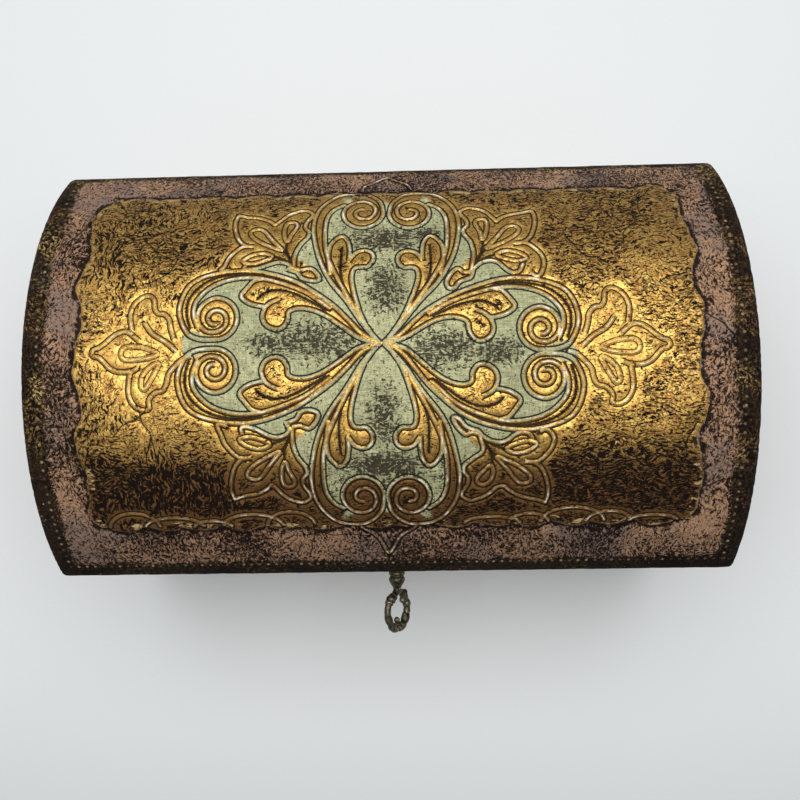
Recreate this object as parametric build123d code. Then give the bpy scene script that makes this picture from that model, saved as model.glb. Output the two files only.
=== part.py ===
from build123d import *

import math
import os

# A small domed casket: a wooden box with a barrel-topped lid on two butt hinges, a lock let into
# the front, and its key. Millimetres. The origin is the middle of the underside, +Z is up,
# +X runs along the box and the lock is in the -Y side.

# ---------------------------------------------------------------- driving dimensions
LENGTH = 204.0  # along X, outside
DEPTH = 125.0  # along Y, outside
WALL = 9.0  # thickness of the side boards
FELT = 1.0  # baize sheet under the box
BODY_TOP = 68.0  # height of the body's rim
PARTING_GAP = 0.4  # between the closed lid and the body
RIM_HEIGHT = 14.0  # straight band of the lid, below the arch
ARCH_RISE = 28.8  # of the lid's outer arc above that band
SHELL = 5.0  # thickness of the bent top board
BOTTOM_BOARD = 5.0
CORNER_RADIUS = 1.5  # rounding of the outer edges
GLUE_LINE = 0.1  # left between curved faces that are glued
CARD = 1.5  # thickness of the velvet-covered lining boards
CUSHION = 3.0  # thickness of the padded floor lining

HALF_X = LENGTH / 2
HALF_Y = DEPTH / 2
INNER_X = HALF_X - WALL
INNER_Y = HALF_Y - WALL
LID_BOTTOM = BODY_TOP + PARTING_GAP
ARCH_FOOT = LID_BOTTOM + RIM_HEIGHT
ARCH_RADIUS = (HALF_Y**2 + ARCH_RISE**2) / (2 * ARCH_RISE)
ARCH_CENTRE_Z = ARCH_FOOT + ARCH_RISE - ARCH_RADIUS

# ---------------------------------------------------------------- hinges
HINGE_X = 62.0  # middle of each hinge from the middle of the box
HINGE_LENGTH = 20.0
LEAF = 0.8  # leaf thickness
LEAF_EDGE_Y = HALF_Y - 4.5  # where a leaf ends and its knuckle tongues start
KNUCKLE_RADIUS = 2.0
PIN_RADIUS = 0.8
RUNNING = 0.05  # radial clearance of a running fit
MIDDLE_KNUCKLE = 6.6  # length of the lid leaf's knuckle
KNUCKLE_GAP = 0.15
HINGE_AXIS_Y = HALF_Y - 2.2
HINGE_AXIS_Z = BODY_TOP + PARTING_GAP / 2
STOP_ANGLE = 100.0  # opening at which the bevelled back edges meet
KNUCKLE_POCKET = KNUCKLE_RADIUS + 0.2
SCREW_RADIUS = 0.8
SCREW_HEAD_RADIUS = 1.5
HINGE_SCREW_X = 6.0  # from the middle of the hinge
HINGE_SCREW_Y = HALF_Y - 6.8
HINGE_SCREW_LENGTH = 7.0

# ---------------------------------------------------------------- lock
KEY_Z = BODY_TOP - 13.0  # height of the key's axis
PLATE_HALF_X = 24.0  # of the lock's back plate and top flange
PLATE = 1.0
FLANGE = 1.2
PLATE_DROP = 23.0  # from the rim to the back plate's lower edge
FLANGE_DEPTH = 7.2
CASE_HALF_X = 20.4
CASE_DEPTH = 5.0
CASE_WALL = 1.0
CASE_FRONT = 0.8
CASE_DROP = 20.6  # from the rim to the case's underside
POCKET_PLAY = 0.1
LOCK_Y = -INNER_Y  # inner face of the front board, which the back plate is flush with
CASE_BACK_Y = LOCK_Y - PLATE
CASE_FRONT_Y = CASE_BACK_Y - CASE_DEPTH
DRILL_PIN_RADIUS = 1.0
KEYHOLE_RADIUS = 2.4
KEYHOLE_SLOT = 2.6  # width of the slot for the bit
KEYHOLE_DROP = 6.0

BOLT_BACK_Y = CASE_BACK_Y - 1.3
BOLT_THICKNESS = 1.8
BOLT_FRONT_Y = BOLT_BACK_Y - BOLT_THICKNESS
BOLT_HALF_X = 16.0
NOTCH_HALF = 1.95  # half the width of the notch that the key's bit works in
NOTCH_TOP = 3.0  # below the key's axis
NOTCH_BOTTOM = 4.2
KEY_SWING = 35.0  # degrees each side of straight down
BOLT_THROW = (NOTCH_TOP + NOTCH_BOTTOM) * math.tan(math.radians(KEY_SWING))
FINGER_LENGTH = BOLT_THROW + 0.5
FINGER_PLAY = 0.4  # between a finger's tip and its staple when the bolt is withdrawn
FINGER_LOW = 5.0  # below the rim
FINGER_HIGH = 2.8

STAPLE_X = 9.0
STAPLE_THICKNESS = 1.5
STAPLE_WIDTH = 3.6
STAPLE_DROP = 6.3  # below the rim
STAPLE_Y = BOLT_FRONT_Y + BOLT_THICKNESS / 2
STRIKE_HALF_X = 17.0
STRIKE_THICKNESS = 1.0
STRIKE_DEPTH = 6.0

# ---------------------------------------------------------------- key
BARREL_RADIUS = 2.0
BARREL_BORE = DRILL_PIN_RADIUS + RUNNING
BARREL_TIP_Y = CASE_BACK_Y - 0.4
BIT_THICKNESS = 2.0
BIT_REACH = 5.4
BIT_WIDTH = 3.2
NECK_RADIUS = 1.2
NECK_END_Y = -72.2
BOW_CENTRE_Y = -79.2
BOW_RADIUS = 6.1  # of the ring's centreline
BOW_WIRE = 1.05

ESCUTCHEON = 0.8  # thickness


# ---------------------------------------------------------------- helpers
def bar(x, y, z):
    """A block between two values on each axis."""
    size = [abs(b - a) for a, b in (x, y, z)]
    middle = [(a + b) / 2 for a, b in (x, y, z)]
    return Pos(*middle) * Box(*size)


def rod_x(radius, x, y, z):
    """A cylinder along X between two values of x."""
    return Pos((x[0] + x[1]) / 2, y, z) * Rot(0, 90, 0) * Cylinder(radius, abs(x[1] - x[0]))


def rod_y(radius, x, y, z):
    """A cylinder along Y between two values of y."""
    return Pos(x, (y[0] + y[1]) / 2, z) * Rot(90, 0, 0) * Cylinder(radius, abs(y[1] - y[0]))


def rod_z(radius, x, y, z):
    """A cylinder along Z between two values of z."""
    return Pos(x, y, (z[0] + z[1]) / 2) * Cylinder(radius, abs(z[1] - z[0]))


def prism_x(points, x):
    """A prism along X over a polygon of (y, z) points."""
    outline = Plane.YZ * make_face(Polyline(*points, close=True))
    return Pos(x[0], 0, 0) * extrude(outline, abs(x[1] - x[0]), dir=(1, 0, 0))


def arch_cylinder(inset, half_x):
    """The solid under the lid's arc, inset from the outer surface."""
    return rod_x(ARCH_RADIUS - inset, (-half_x, half_x), 0, ARCH_CENTRE_Z)


def back_bevel():
    """The wedge cut from both back edges, so that the open lid rests on the body's bevel."""
    reach = 12.0
    drop = reach * math.tan(math.radians(STOP_ANGLE / 2))
    return prism_x(
        [
            (HINGE_AXIS_Y, HINGE_AXIS_Z),
            (HINGE_AXIS_Y + reach, HINGE_AXIS_Z - drop),
            (HINGE_AXIS_Y + reach, HINGE_AXIS_Z + drop),
        ],
        (-HALF_X - 1, HALF_X + 1),
    )


def outer_uprights(solid, y_side):
    """The vertical outer corner edges of a front or back board."""
    found = solid.edges().filter_by(Axis.Z)
    corners = [e for e in found if abs(abs(e.center().X) - HALF_X) < 0.01]
    return [e for e in corners if abs(e.center().Y - y_side) < 0.01]


def screw(length, direction):
    """A countersunk wood screw: its head's face is at the origin and it points along direction."""
    head = Pos(0, 0, -0.375) * Cone(SCREW_RADIUS, SCREW_HEAD_RADIUS, 0.75)
    shank = rod_z(SCREW_RADIUS, 0, 0, (-length + 1.2, -0.5))
    tip = Pos(0, 0, -length + 0.6) * Cone(0.1, SCREW_RADIUS, 1.2)
    slot = bar((-2, 2), (-0.2, 0.2), (-0.35, 0.1))
    turn = {"down": Rot(0, 0, 0), "up": Rot(180, 0, 0), "front": Rot(-90, 0, 0)}[direction]
    return turn * (head + shank + tip - slot)


def screw_hole(length, direction):
    """The room that a screw takes, with a little play at the head."""
    head = Pos(0, 0, -0.35) * Cone(SCREW_RADIUS + 0.05, SCREW_HEAD_RADIUS + 0.1, 0.8)
    shank = rod_z(SCREW_RADIUS + 0.02, 0, 0, (-length - 0.05, -0.5))
    turn = {"down": Rot(0, 0, 0), "up": Rot(180, 0, 0), "front": Rot(-90, 0, 0)}[direction]
    return turn * (head + shank)


# the rim that each hinge leaf is let into, and the way its screws point
HINGE_FACE = {"body": (BODY_TOP, "down"), "lid": (LID_BOTTOM, "up")}


def hinge_screw_places(kind):
    return [
        Pos(side * HINGE_X + offset, HINGE_SCREW_Y, HINGE_FACE[kind][0])
        for side in (-1, 1)
        for offset in (-HINGE_SCREW_X, HINGE_SCREW_X)
    ]


def hinge_screw_holes(kind):
    hole = screw_hole(HINGE_SCREW_LENGTH, HINGE_FACE[kind][1])
    return [place * hole for place in hinge_screw_places(kind)]


def knuckle_pockets():
    """Room for the knuckles in the back edges of the body and the lid."""
    reach = HINGE_LENGTH / 2 + 0.4
    return [
        rod_x(KNUCKLE_POCKET, (s * HINGE_X - reach, s * HINGE_X + reach), HINGE_AXIS_Y, HINGE_AXIS_Z)
        for s in (-1, 1)
    ]


def leaf_recesses(z):
    """Mortises for the hinge leaves, between two heights."""
    reach = HINGE_LENGTH / 2
    return [
        bar((s * HINGE_X - reach, s * HINGE_X + reach), (INNER_Y, HINGE_AXIS_Y), z) for s in (-1, 1)
    ]


def cut(solid, tools):
    for tool in tools:
        solid = solid - tool
    return solid


# ---------------------------------------------------------------- wooden body
LOCK_FLANGE_SCREW_X = 22.0
LOCK_FLANGE_SCREW_Y = LOCK_Y - 3.4
LOCK_PLATE_SCREW_Z = BODY_TOP - 19.0
LOCK_SCREW_LENGTH = 5.5


def lock_screw_places():
    """Each lock screw's place and the way it points."""
    top = [(Pos(s * LOCK_FLANGE_SCREW_X, LOCK_FLANGE_SCREW_Y, BODY_TOP), "down") for s in (-1, 1)]
    back = [(Pos(s * LOCK_FLANGE_SCREW_X, LOCK_Y, LOCK_PLATE_SCREW_Z), "front") for s in (-1, 1)]
    return top + back


def plate_blocks():
    """The lock's upright back plate and its top flange, as two blocks."""
    x = (-PLATE_HALF_X, PLATE_HALF_X)
    return [
        bar(x, (CASE_BACK_Y, LOCK_Y), (BODY_TOP - PLATE_DROP, BODY_TOP)),
        bar(x, (LOCK_Y - FLANGE_DEPTH, LOCK_Y), (BODY_TOP - FLANGE, BODY_TOP)),
    ]


def keyhole(y):
    """A round hole with a slot below it, through the front between two values of y."""
    slot = bar((-KEYHOLE_SLOT / 2, KEYHOLE_SLOT / 2), y, (KEY_Z - KEYHOLE_DROP, KEY_Z))
    return rod_y(KEYHOLE_RADIUS, 0, y, KEY_Z) + slot


def front_panel():
    board = bar((-HALF_X, HALF_X), (-HALF_Y, -INNER_Y), (FELT, BODY_TOP))
    board = fillet(outer_uprights(board, -HALF_Y), CORNER_RADIUS)
    pocket_x = CASE_HALF_X + POCKET_PLAY
    pocket_z = (BODY_TOP - CASE_DROP - POCKET_PLAY, BODY_TOP)
    tools = [
        bar((-pocket_x, pocket_x), (CASE_FRONT_Y - POCKET_PLAY, LOCK_Y), pocket_z),
        *plate_blocks(),
        keyhole((-HALF_Y - 1, CASE_FRONT_Y)),
    ]
    tools += [place * screw_hole(LOCK_SCREW_LENGTH, way) for place, way in lock_screw_places()]
    tools += [
        rod_y(ESCUTCHEON_PIN_RADIUS, 0, (-HALF_Y - 1, ESCUTCHEON_PIN_TIP_Y), z)
        for z in ESCUTCHEON_PIN_Z
    ]
    return cut(board, tools)


def back_panel():
    board = bar((-HALF_X, HALF_X), (INNER_Y, HALF_Y), (FELT, BODY_TOP))
    board = fillet(outer_uprights(board, HALF_Y), CORNER_RADIUS)
    tools = [back_bevel()] + knuckle_pockets() + leaf_recesses((BODY_TOP - LEAF, BODY_TOP))
    tools += hinge_screw_holes("body")
    return cut(board, tools)


def end_panel(side):
    return bar((side * INNER_X, side * HALF_X), (-INNER_Y, INNER_Y), (FELT, BODY_TOP))


def bottom_panel():
    return bar((-INNER_X, INNER_X), (-INNER_Y, INNER_Y), (FELT, FELT + BOTTOM_BOARD))


def base_felt():
    inset = 1.5
    sheet = bar((-HALF_X + inset, HALF_X - inset), (-HALF_Y + inset, HALF_Y - inset), (0, FELT))
    return fillet(sheet.edges().filter_by(Axis.Z), 2.0)


# ---------------------------------------------------------------- wooden lid
def lid_top():
    """The bent board: between two arcs, sawn off flush with the front and the back."""
    low = ARCH_CENTRE_Z + math.sqrt((ARCH_RADIUS - SHELL) ** 2 - HALF_Y**2)
    blank = bar((-HALF_X, HALF_X), (-HALF_Y, HALF_Y), (low - 1, ARCH_FOOT + ARCH_RISE + 1))
    board = blank & (arch_cylinder(0, HALF_X) - arch_cylinder(SHELL, HALF_X + 1))
    arcs = board.edges().filter_by(GeomType.CIRCLE)
    outer = [e for e in arcs if abs(e.radius - ARCH_RADIUS) < 0.01]
    return fillet(outer, CORNER_RADIUS)


def lid_rail(side):
    """The straight front (-1) or back (+1) rail of the lid, planed to the bent board's underside."""
    rail = bar((-HALF_X, HALF_X), (side * INNER_Y, side * HALF_Y), (LID_BOTTOM, ARCH_FOOT + 4))
    rail = rail & arch_cylinder(SHELL + GLUE_LINE, HALF_X)
    return fillet(outer_uprights(rail, side * HALF_Y), CORNER_RADIUS)


def lid_front_rail():
    recess = bar(
        (-STRIKE_HALF_X, STRIKE_HALF_X),
        (STAPLE_Y - STRIKE_DEPTH / 2, STAPLE_Y + STRIKE_DEPTH / 2),
        (LID_BOTTOM, LID_BOTTOM + STRIKE_THICKNESS),
    )
    holes = [place * screw_hole(STRIKE_SCREW_LENGTH, "up") for place in strike_screw_places()]
    return cut(lid_rail(-1), [recess] + holes)


def lid_back_rail():
    tools = [back_bevel()] + knuckle_pockets() + leaf_recesses((LID_BOTTOM, LID_BOTTOM + LEAF))
    tools += hinge_screw_holes("lid")
    return cut(lid_rail(1), tools)


def lid_end(side):
    z = (LID_BOTTOM, ARCH_FOOT + ARCH_RISE)
    blank = bar((side * INNER_X, side * HALF_X), (-INNER_Y, INNER_Y), z)
    return blank & arch_cylinder(SHELL + GLUE_LINE, HALF_X + 1)


# ---------------------------------------------------------------- linings
LINING_TOP = BODY_TOP - 0.5
FLOOR_TOP = FELT + BOTTOM_BOARD + CUSHION
LINING_OPENING_X = PLATE_HALF_X + 0.5  # the front lining is cut round the lock's back plate


def lining_floor():
    pad = bar((-INNER_X, INNER_X), (-INNER_Y, INNER_Y), (FELT + BOTTOM_BOARD, FLOOR_TOP))
    return fillet(pad.edges().group_by(Axis.Z)[-1], 1.0)


def lining_long(side):
    """The lining of the front (-1) or back (+1) board."""
    y = (side * (INNER_Y - CARD), side * INNER_Y)
    return bar((-INNER_X, INNER_X), y, (FLOOR_TOP, LINING_TOP))


def lining_front():
    window = bar(
        (-LINING_OPENING_X, LINING_OPENING_X),
        (-INNER_Y - 1, -INNER_Y + CARD + 1),
        (BODY_TOP - PLATE_DROP - 0.5, BODY_TOP),
    )
    return lining_long(-1) - window


def lining_end(side):
    x = (side * (INNER_X - CARD), side * INNER_X)
    return bar(x, (-INNER_Y + CARD, INNER_Y - CARD), (FLOOR_TOP, LINING_TOP))


LID_CARD_BOTTOM = LID_BOTTOM + 0.6
LID_CARD_INSET = SHELL + GLUE_LINE + CARD  # of the arched lining's underside


def lid_lining_top():
    """The arched lining, between the lid's rails."""
    board = arch_cylinder(SHELL + GLUE_LINE, INNER_X) - arch_cylinder(LID_CARD_INSET, INNER_X + 1)
    z = (ARCH_FOOT, ARCH_FOOT + ARCH_RISE)
    return board & bar((-INNER_X, INNER_X), (-INNER_Y, INNER_Y), z)


def lid_lining_long(side):
    """The lining of a rail, up to the arched lining."""
    y = (side * (INNER_Y - CARD), side * INNER_Y)
    board = bar((-INNER_X, INNER_X), y, (LID_CARD_BOTTOM, ARCH_FOOT + 4))
    return board & arch_cylinder(LID_CARD_INSET + GLUE_LINE, INNER_X)


def lid_lining_end(side):
    board = bar(
        (side * (INNER_X - CARD), side * INNER_X),
        (-INNER_Y + CARD, INNER_Y - CARD),
        (LID_CARD_BOTTOM, ARCH_FOOT + ARCH_RISE),
    )
    return board & arch_cylinder(LID_CARD_INSET + GLUE_LINE, HALF_X)


# ---------------------------------------------------------------- hinge parts
def knuckle_spans():
    """The x ranges of the body leaf's two knuckles and of the lid leaf's one, about the hinge."""
    half, middle = HINGE_LENGTH / 2, MIDDLE_KNUCKLE / 2
    body = [(-half, -middle - KNUCKLE_GAP), (middle + KNUCKLE_GAP, half)]
    return {"body": body, "lid": [(-middle, middle)]}


def hinge_leaf(side, kind):
    z = (BODY_TOP - LEAF, BODY_TOP) if kind == "body" else (LID_BOTTOM, LID_BOTTOM + LEAF)
    bore = PIN_RADIUS if kind == "body" else PIN_RADIUS + RUNNING
    at = side * HINGE_X
    reach = HINGE_LENGTH / 2
    leaf = bar((at - reach, at + reach), (INNER_Y, LEAF_EDGE_Y), z)
    for low, high in knuckle_spans()[kind]:
        leaf += bar((at + low, at + high), (LEAF_EDGE_Y, HINGE_AXIS_Y), z)
        leaf += rod_x(KNUCKLE_RADIUS, (at + low, at + high), HINGE_AXIS_Y, HINGE_AXIS_Z)
    leaf -= rod_x(bore, (at - reach - 1, at + reach + 1), HINGE_AXIS_Y, HINGE_AXIS_Z)
    return cut(leaf, hinge_screw_holes(kind))


def hinge_pin(side):
    reach = HINGE_LENGTH / 2 + 0.2
    x = (side * HINGE_X - reach, side * HINGE_X + reach)
    return rod_x(PIN_RADIUS, x, HINGE_AXIS_Y, HINGE_AXIS_Z)


def hinge_screws(kind):
    one = screw(HINGE_SCREW_LENGTH, HINGE_FACE[kind][1])
    return Compound(children=[place * one for place in hinge_screw_places(kind)])


# ---------------------------------------------------------------- lock parts
SLOT_PLAY = 0.4


def lock_plate():
    """The back plate and the top flange with its two slots, bent from one strip."""
    back, flange = plate_blocks()
    plate = back + flange
    for s in (-1, 1):
        half_x = STAPLE_THICKNESS / 2 + SLOT_PLAY
        half_y = STAPLE_WIDTH / 2 + SLOT_PLAY / 2
        plate -= bar(
            (s * STAPLE_X - half_x, s * STAPLE_X + half_x),
            (STAPLE_Y - half_y, STAPLE_Y + half_y),
            (BODY_TOP - FLANGE - 1, BODY_TOP + 1),
        )
    holes = [place * screw_hole(LOCK_SCREW_LENGTH, way) for place, way in lock_screw_places()]
    return cut(plate, holes)


def lock_case():
    """The box in front of the back plate, with two studs that the bolt slides on."""
    z = (BODY_TOP - CASE_DROP, BODY_TOP - FLANGE)
    outer = bar((-CASE_HALF_X, CASE_HALF_X), (CASE_FRONT_Y, CASE_BACK_Y), z)
    room = bar(
        (-CASE_HALF_X + CASE_WALL, CASE_HALF_X - CASE_WALL),
        (CASE_FRONT_Y + CASE_FRONT, CASE_BACK_Y),
        (z[0] + CASE_WALL, z[1] + 1),
    )
    case = outer - room - keyhole((CASE_FRONT_Y - 1, CASE_FRONT_Y + CASE_FRONT + 0.2))
    for s in (-1, 1):
        case += rod_y(STUD_RADIUS, s * STUD_X, (CASE_FRONT_Y + CASE_FRONT / 2, BOLT_BACK_Y), STUD_Z)
    return case


STUD_RADIUS = 0.7
STUD_X = 11.0
STUD_Z = KEY_Z + 4.05


def drill_pin():
    """The fixed post that the hollow key turns on."""
    return rod_y(DRILL_PIN_RADIUS, 0, (CASE_BACK_Y, CASE_BACK_Y - 8.0), KEY_Z)


def bolt_spring():
    """A bowed leaf on the case's floor whose free end rubs on the bolt and holds it where it is put."""
    thickness = 0.4
    foot = BODY_TOP - CASE_DROP + CASE_WALL + thickness / 2
    free_end = KEY_Z - NOTCH_BOTTOM - 0.1 - thickness / 2
    arc = ThreePointArc((4.9, free_end), (10.5, free_end - 0.5), (18.0, foot))
    strip = Plane.XZ * trace(arc, line_width=thickness)
    return Pos(0, BOLT_BACK_Y, 0) * extrude(strip, BOLT_THICKNESS, dir=(0, -1, 0))


def lock_bolt():
    """The sliding bolt, at the end of its travel away from the staples' eyes."""
    rim = BODY_TOP
    window_top = KEY_Z + 2.6
    bar_top = rim - 7.5
    shift = BOLT_THROW / 2
    y = (BOLT_FRONT_Y, BOLT_BACK_Y)
    leg = (5.4, 8.4)
    bolt = bar((-BOLT_HALF_X, BOLT_HALF_X), y, (window_top, bar_top))
    for s in (-1, 1):
        bolt += bar((s * leg[0], s * leg[1]), y, (KEY_Z - NOTCH_BOTTOM, window_top))
        bolt += bar((s * NOTCH_HALF, s * leg[1]), y, (KEY_Z - NOTCH_BOTTOM, KEY_Z - NOTCH_TOP))
    for staple in (-STAPLE_X, STAPLE_X):
        tip = staple - shift + STAPLE_THICKNESS / 2 + FINGER_PLAY
        root = tip + FINGER_LENGTH
        bolt += bar((root, root + 2.8), y, (bar_top, rim - 2.0))
        bolt += bar((tip, root), y, (rim - FINGER_LOW, rim - FINGER_HIGH))
    for s in (-1, 1):
        reach = BOLT_THROW / 2 + STUD_RADIUS + 0.15
        x = (s * STUD_X - reach, s * STUD_X + reach)
        bolt -= bar(x, (y[0] - 1, y[1] + 1), (STUD_Z - STUD_RADIUS - 0.1, STUD_Z + STUD_RADIUS + 0.1))
    return Pos(shift, 0, 0) * bolt


def lock_screws():
    screws = [place * screw(LOCK_SCREW_LENGTH, way) for place, way in lock_screw_places()]
    return Compound(children=screws)


STRIKE_SCREW_LENGTH = 6.0


def strike_screw_places():
    return [Pos(s * (STRIKE_HALF_X - 2.6), STAPLE_Y, LID_BOTTOM) for s in (-1, 1)]


def strike_plate():
    """The plate under the lid's front rail, with the two eyed staples that drop into the lock."""
    plate = bar(
        (-STRIKE_HALF_X, STRIKE_HALF_X),
        (STAPLE_Y - STRIKE_DEPTH / 2, STAPLE_Y + STRIKE_DEPTH / 2),
        (LID_BOTTOM, LID_BOTTOM + STRIKE_THICKNESS),
    )
    for s in (-1, 1):
        x = (s * STAPLE_X - STAPLE_THICKNESS / 2, s * STAPLE_X + STAPLE_THICKNESS / 2)
        y = (STAPLE_Y - STAPLE_WIDTH / 2, STAPLE_Y + STAPLE_WIDTH / 2)
        staple = bar(x, y, (BODY_TOP - STAPLE_DROP, LID_BOTTOM + STRIKE_THICKNESS / 2))
        foot = staple.edges().filter_by(Axis.X).group_by(Axis.Z)[0]
        staple = fillet(foot, 0.5)
        eye = bar((x[0] - 1, x[1] + 1), (y[0] + 0.6, y[1] - 0.6), (BODY_TOP - 5.6, BODY_TOP - 2.2))
        plate += staple - eye
    holes = [place * screw_hole(STRIKE_SCREW_LENGTH, "up") for place in strike_screw_places()]
    return cut(plate, holes)


def strike_screws():
    one = screw(STRIKE_SCREW_LENGTH, "up")
    return Compound(children=[place * one for place in strike_screw_places()])


# ---------------------------------------------------------------- escutcheon
ESCUTCHEON_PIN_RADIUS = 0.6
ESCUTCHEON_PIN_TIP_Y = -HALF_Y + 2.5
ESCUTCHEON_PIN_Z = (KEY_Z + 7.4, KEY_Z - 10.2)


def escutcheon():
    """A lobed keyhole plate: a round middle with a smaller lobe above and a long one below."""
    outline = Pos(0, -1.4) * Ellipse(5.2, 7.6)
    outline += Pos(0, 6.6) * Circle(3.0)
    outline += Pos(0, -9.4) * Circle(2.8)
    for s in (-1, 1):
        outline += Pos(s * 4.2, -1.0) * Circle(2.6)
    plate = extrude(Plane.XZ * outline, ESCUTCHEON, dir=(0, -1, 0))
    plate = Pos(0, -HALF_Y, KEY_Z) * plate
    holes = [
        rod_y(ESCUTCHEON_PIN_RADIUS + RUNNING, 0, (-HALF_Y - 2, -HALF_Y + 1), z)
        for z in ESCUTCHEON_PIN_Z
    ]
    return cut(plate - keyhole((-HALF_Y - 2, -HALF_Y + 1)), holes)


def escutcheon_pins():
    pins = []
    for z in ESCUTCHEON_PIN_Z:
        head_y = -HALF_Y - ESCUTCHEON
        shank = rod_y(ESCUTCHEON_PIN_RADIUS, 0, (head_y - 0.3, ESCUTCHEON_PIN_TIP_Y), z)
        dome = Pos(0, head_y, z) * Sphere(1.1)
        dome = dome & bar((-2, 2), (head_y - 2, head_y), (z - 2, z + 2))
        pins.append(shank + dome)
    return Compound(children=pins)


# ---------------------------------------------------------------- key
def turned(profile):
    """A solid of revolution about the Y axis from (y, radius) points."""
    points = [(r, y) for y, r in profile]
    points = [(0, profile[0][0])] + points + [(0, profile[-1][0])]
    return revolve(make_face(Polyline(*points, close=True)), Axis.Y)


def key_bow():
    """A ring with balls at each side, a crest inside its far end and a drop at the neck."""
    bow = Pos(0, BOW_CENTRE_Y, 0) * Rot(0, 90, 0) * Torus(BOW_RADIUS, BOW_WIRE)
    far = BOW_CENTRE_Y - BOW_RADIUS
    near = BOW_CENTRE_Y + BOW_RADIUS
    bow += Pos(0, far + 1.9, 0) * Sphere(1.15)
    bow += Pos(0, near - 1.5, 0) * Sphere(1.05)
    for s in (-1, 1):
        bow += Pos(0, near - 0.4, s * 3.6) * Sphere(1.35)
        bow += Pos(0, far + 2.6, s * 5.6) * Sphere(1.3)
    return bow


def key():
    """The hollow-barrelled key, turned so that its bit holds the bolt at the unlocked end."""
    tip = BARREL_TIP_Y
    profile = [
        (tip, BARREL_RADIUS),
        (-HALF_Y - ESCUTCHEON - 0.5, BARREL_RADIUS),
        (-HALF_Y - ESCUTCHEON - 0.5, 2.6),
        (-65.2, 2.6),
        (-65.5, 2.3),
        (-65.9, 2.3),
        (-66.2, 2.7),
        (-67.0, 2.7),
        (-67.3, 2.35),
        (-67.7, 2.35),
        (-68.2, 2.7),
        (-69.4, 2.6),
        (-70.6, 1.9),
        (-71.4, 1.3),
        (NECK_END_Y, NECK_RADIUS),
        (BOW_CENTRE_Y + BOW_RADIUS - 0.2, NECK_RADIUS + 0.1),
    ]
    body = turned(profile)
    bit = bar((-BIT_THICKNESS / 2, BIT_THICKNESS / 2), (tip - BIT_WIDTH, tip), (-BIT_REACH, -1.5))
    body += bit + key_bow()
    body -= rod_y(BARREL_BORE, 0, (tip + 1, CASE_BACK_Y - 8.4), 0)
    return Pos(0, 0, KEY_Z) * Rot(0, -KEY_SWING, 0) * body


# ---------------------------------------------------------------- every sub-part, one STEP each
PARTS = {
    "front_panel": front_panel(),
    "back_panel": back_panel(),
    "left_panel": end_panel(-1),
    "right_panel": end_panel(1),
    "bottom_panel": bottom_panel(),
    "base_felt": base_felt(),
    "lid_top": lid_top(),
    "lid_front_rail": lid_front_rail(),
    "lid_back_rail": lid_back_rail(),
    "lid_left_end": lid_end(-1),
    "lid_right_end": lid_end(1),
    "lining_floor": lining_floor(),
    "lining_front": lining_front(),
    "lining_back": lining_long(1),
    "lining_left": lining_end(-1),
    "lining_right": lining_end(1),
    "lid_lining_top": lid_lining_top(),
    "lid_lining_front": lid_lining_long(-1),
    "lid_lining_back": lid_lining_long(1),
    "lid_lining_left": lid_lining_end(-1),
    "lid_lining_right": lid_lining_end(1),
    "hinge_body_leaf_left": hinge_leaf(-1, "body"),
    "hinge_body_leaf_right": hinge_leaf(1, "body"),
    "hinge_lid_leaf_left": hinge_leaf(-1, "lid"),
    "hinge_lid_leaf_right": hinge_leaf(1, "lid"),
    "hinge_pin_left": hinge_pin(-1),
    "hinge_pin_right": hinge_pin(1),
    "hinge_body_screws": hinge_screws("body"),
    "hinge_lid_screws": hinge_screws("lid"),
    "lock_plate": lock_plate(),
    "lock_case": lock_case(),
    "lock_bolt": lock_bolt(),
    "bolt_spring": bolt_spring(),
    "drill_pin": drill_pin(),
    "lock_screws": lock_screws(),
    "strike_plate": strike_plate(),
    "strike_screws": strike_screws(),
    "escutcheon": escutcheon(),
    "escutcheon_pins": escutcheon_pins(),
    "key": key(),
}

os.makedirs("parts", exist_ok=True)
for name, shape in PARTS.items():
    export_step(shape, f"parts/{name}.step")

print("arch radius", round(ARCH_RADIUS, 3), "bolt throw", round(BOLT_THROW, 3))
print("hinge axis y, z", HINGE_AXIS_Y, HINGE_AXIS_Z, "key axis z", KEY_Z)
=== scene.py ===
import math
import random

import bmesh
import bpy
import numpy as np
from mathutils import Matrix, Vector
from mathutils.geometry import delaunay_2d_cdt
from mathutils.kdtree import KDTree


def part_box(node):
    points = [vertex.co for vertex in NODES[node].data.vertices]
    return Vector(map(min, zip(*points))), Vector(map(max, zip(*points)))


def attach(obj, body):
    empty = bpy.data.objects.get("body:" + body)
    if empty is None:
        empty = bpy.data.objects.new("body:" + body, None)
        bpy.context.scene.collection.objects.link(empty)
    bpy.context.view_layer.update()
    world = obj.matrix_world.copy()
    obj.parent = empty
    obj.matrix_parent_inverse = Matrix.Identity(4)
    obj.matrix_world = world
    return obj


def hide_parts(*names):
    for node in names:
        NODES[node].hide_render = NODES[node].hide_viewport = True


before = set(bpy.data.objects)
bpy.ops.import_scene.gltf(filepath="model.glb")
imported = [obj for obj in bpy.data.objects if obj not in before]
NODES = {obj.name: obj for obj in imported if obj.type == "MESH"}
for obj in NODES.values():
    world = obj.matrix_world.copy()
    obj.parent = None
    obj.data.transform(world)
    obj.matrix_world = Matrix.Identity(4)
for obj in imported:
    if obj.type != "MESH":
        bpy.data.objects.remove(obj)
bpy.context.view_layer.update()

MM = 0.001


def corners(node):
    """A CAD node's lowest and highest corner, in millimetres."""
    low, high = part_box(node)
    return np.array(low) / MM, np.array(high) / MM


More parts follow.
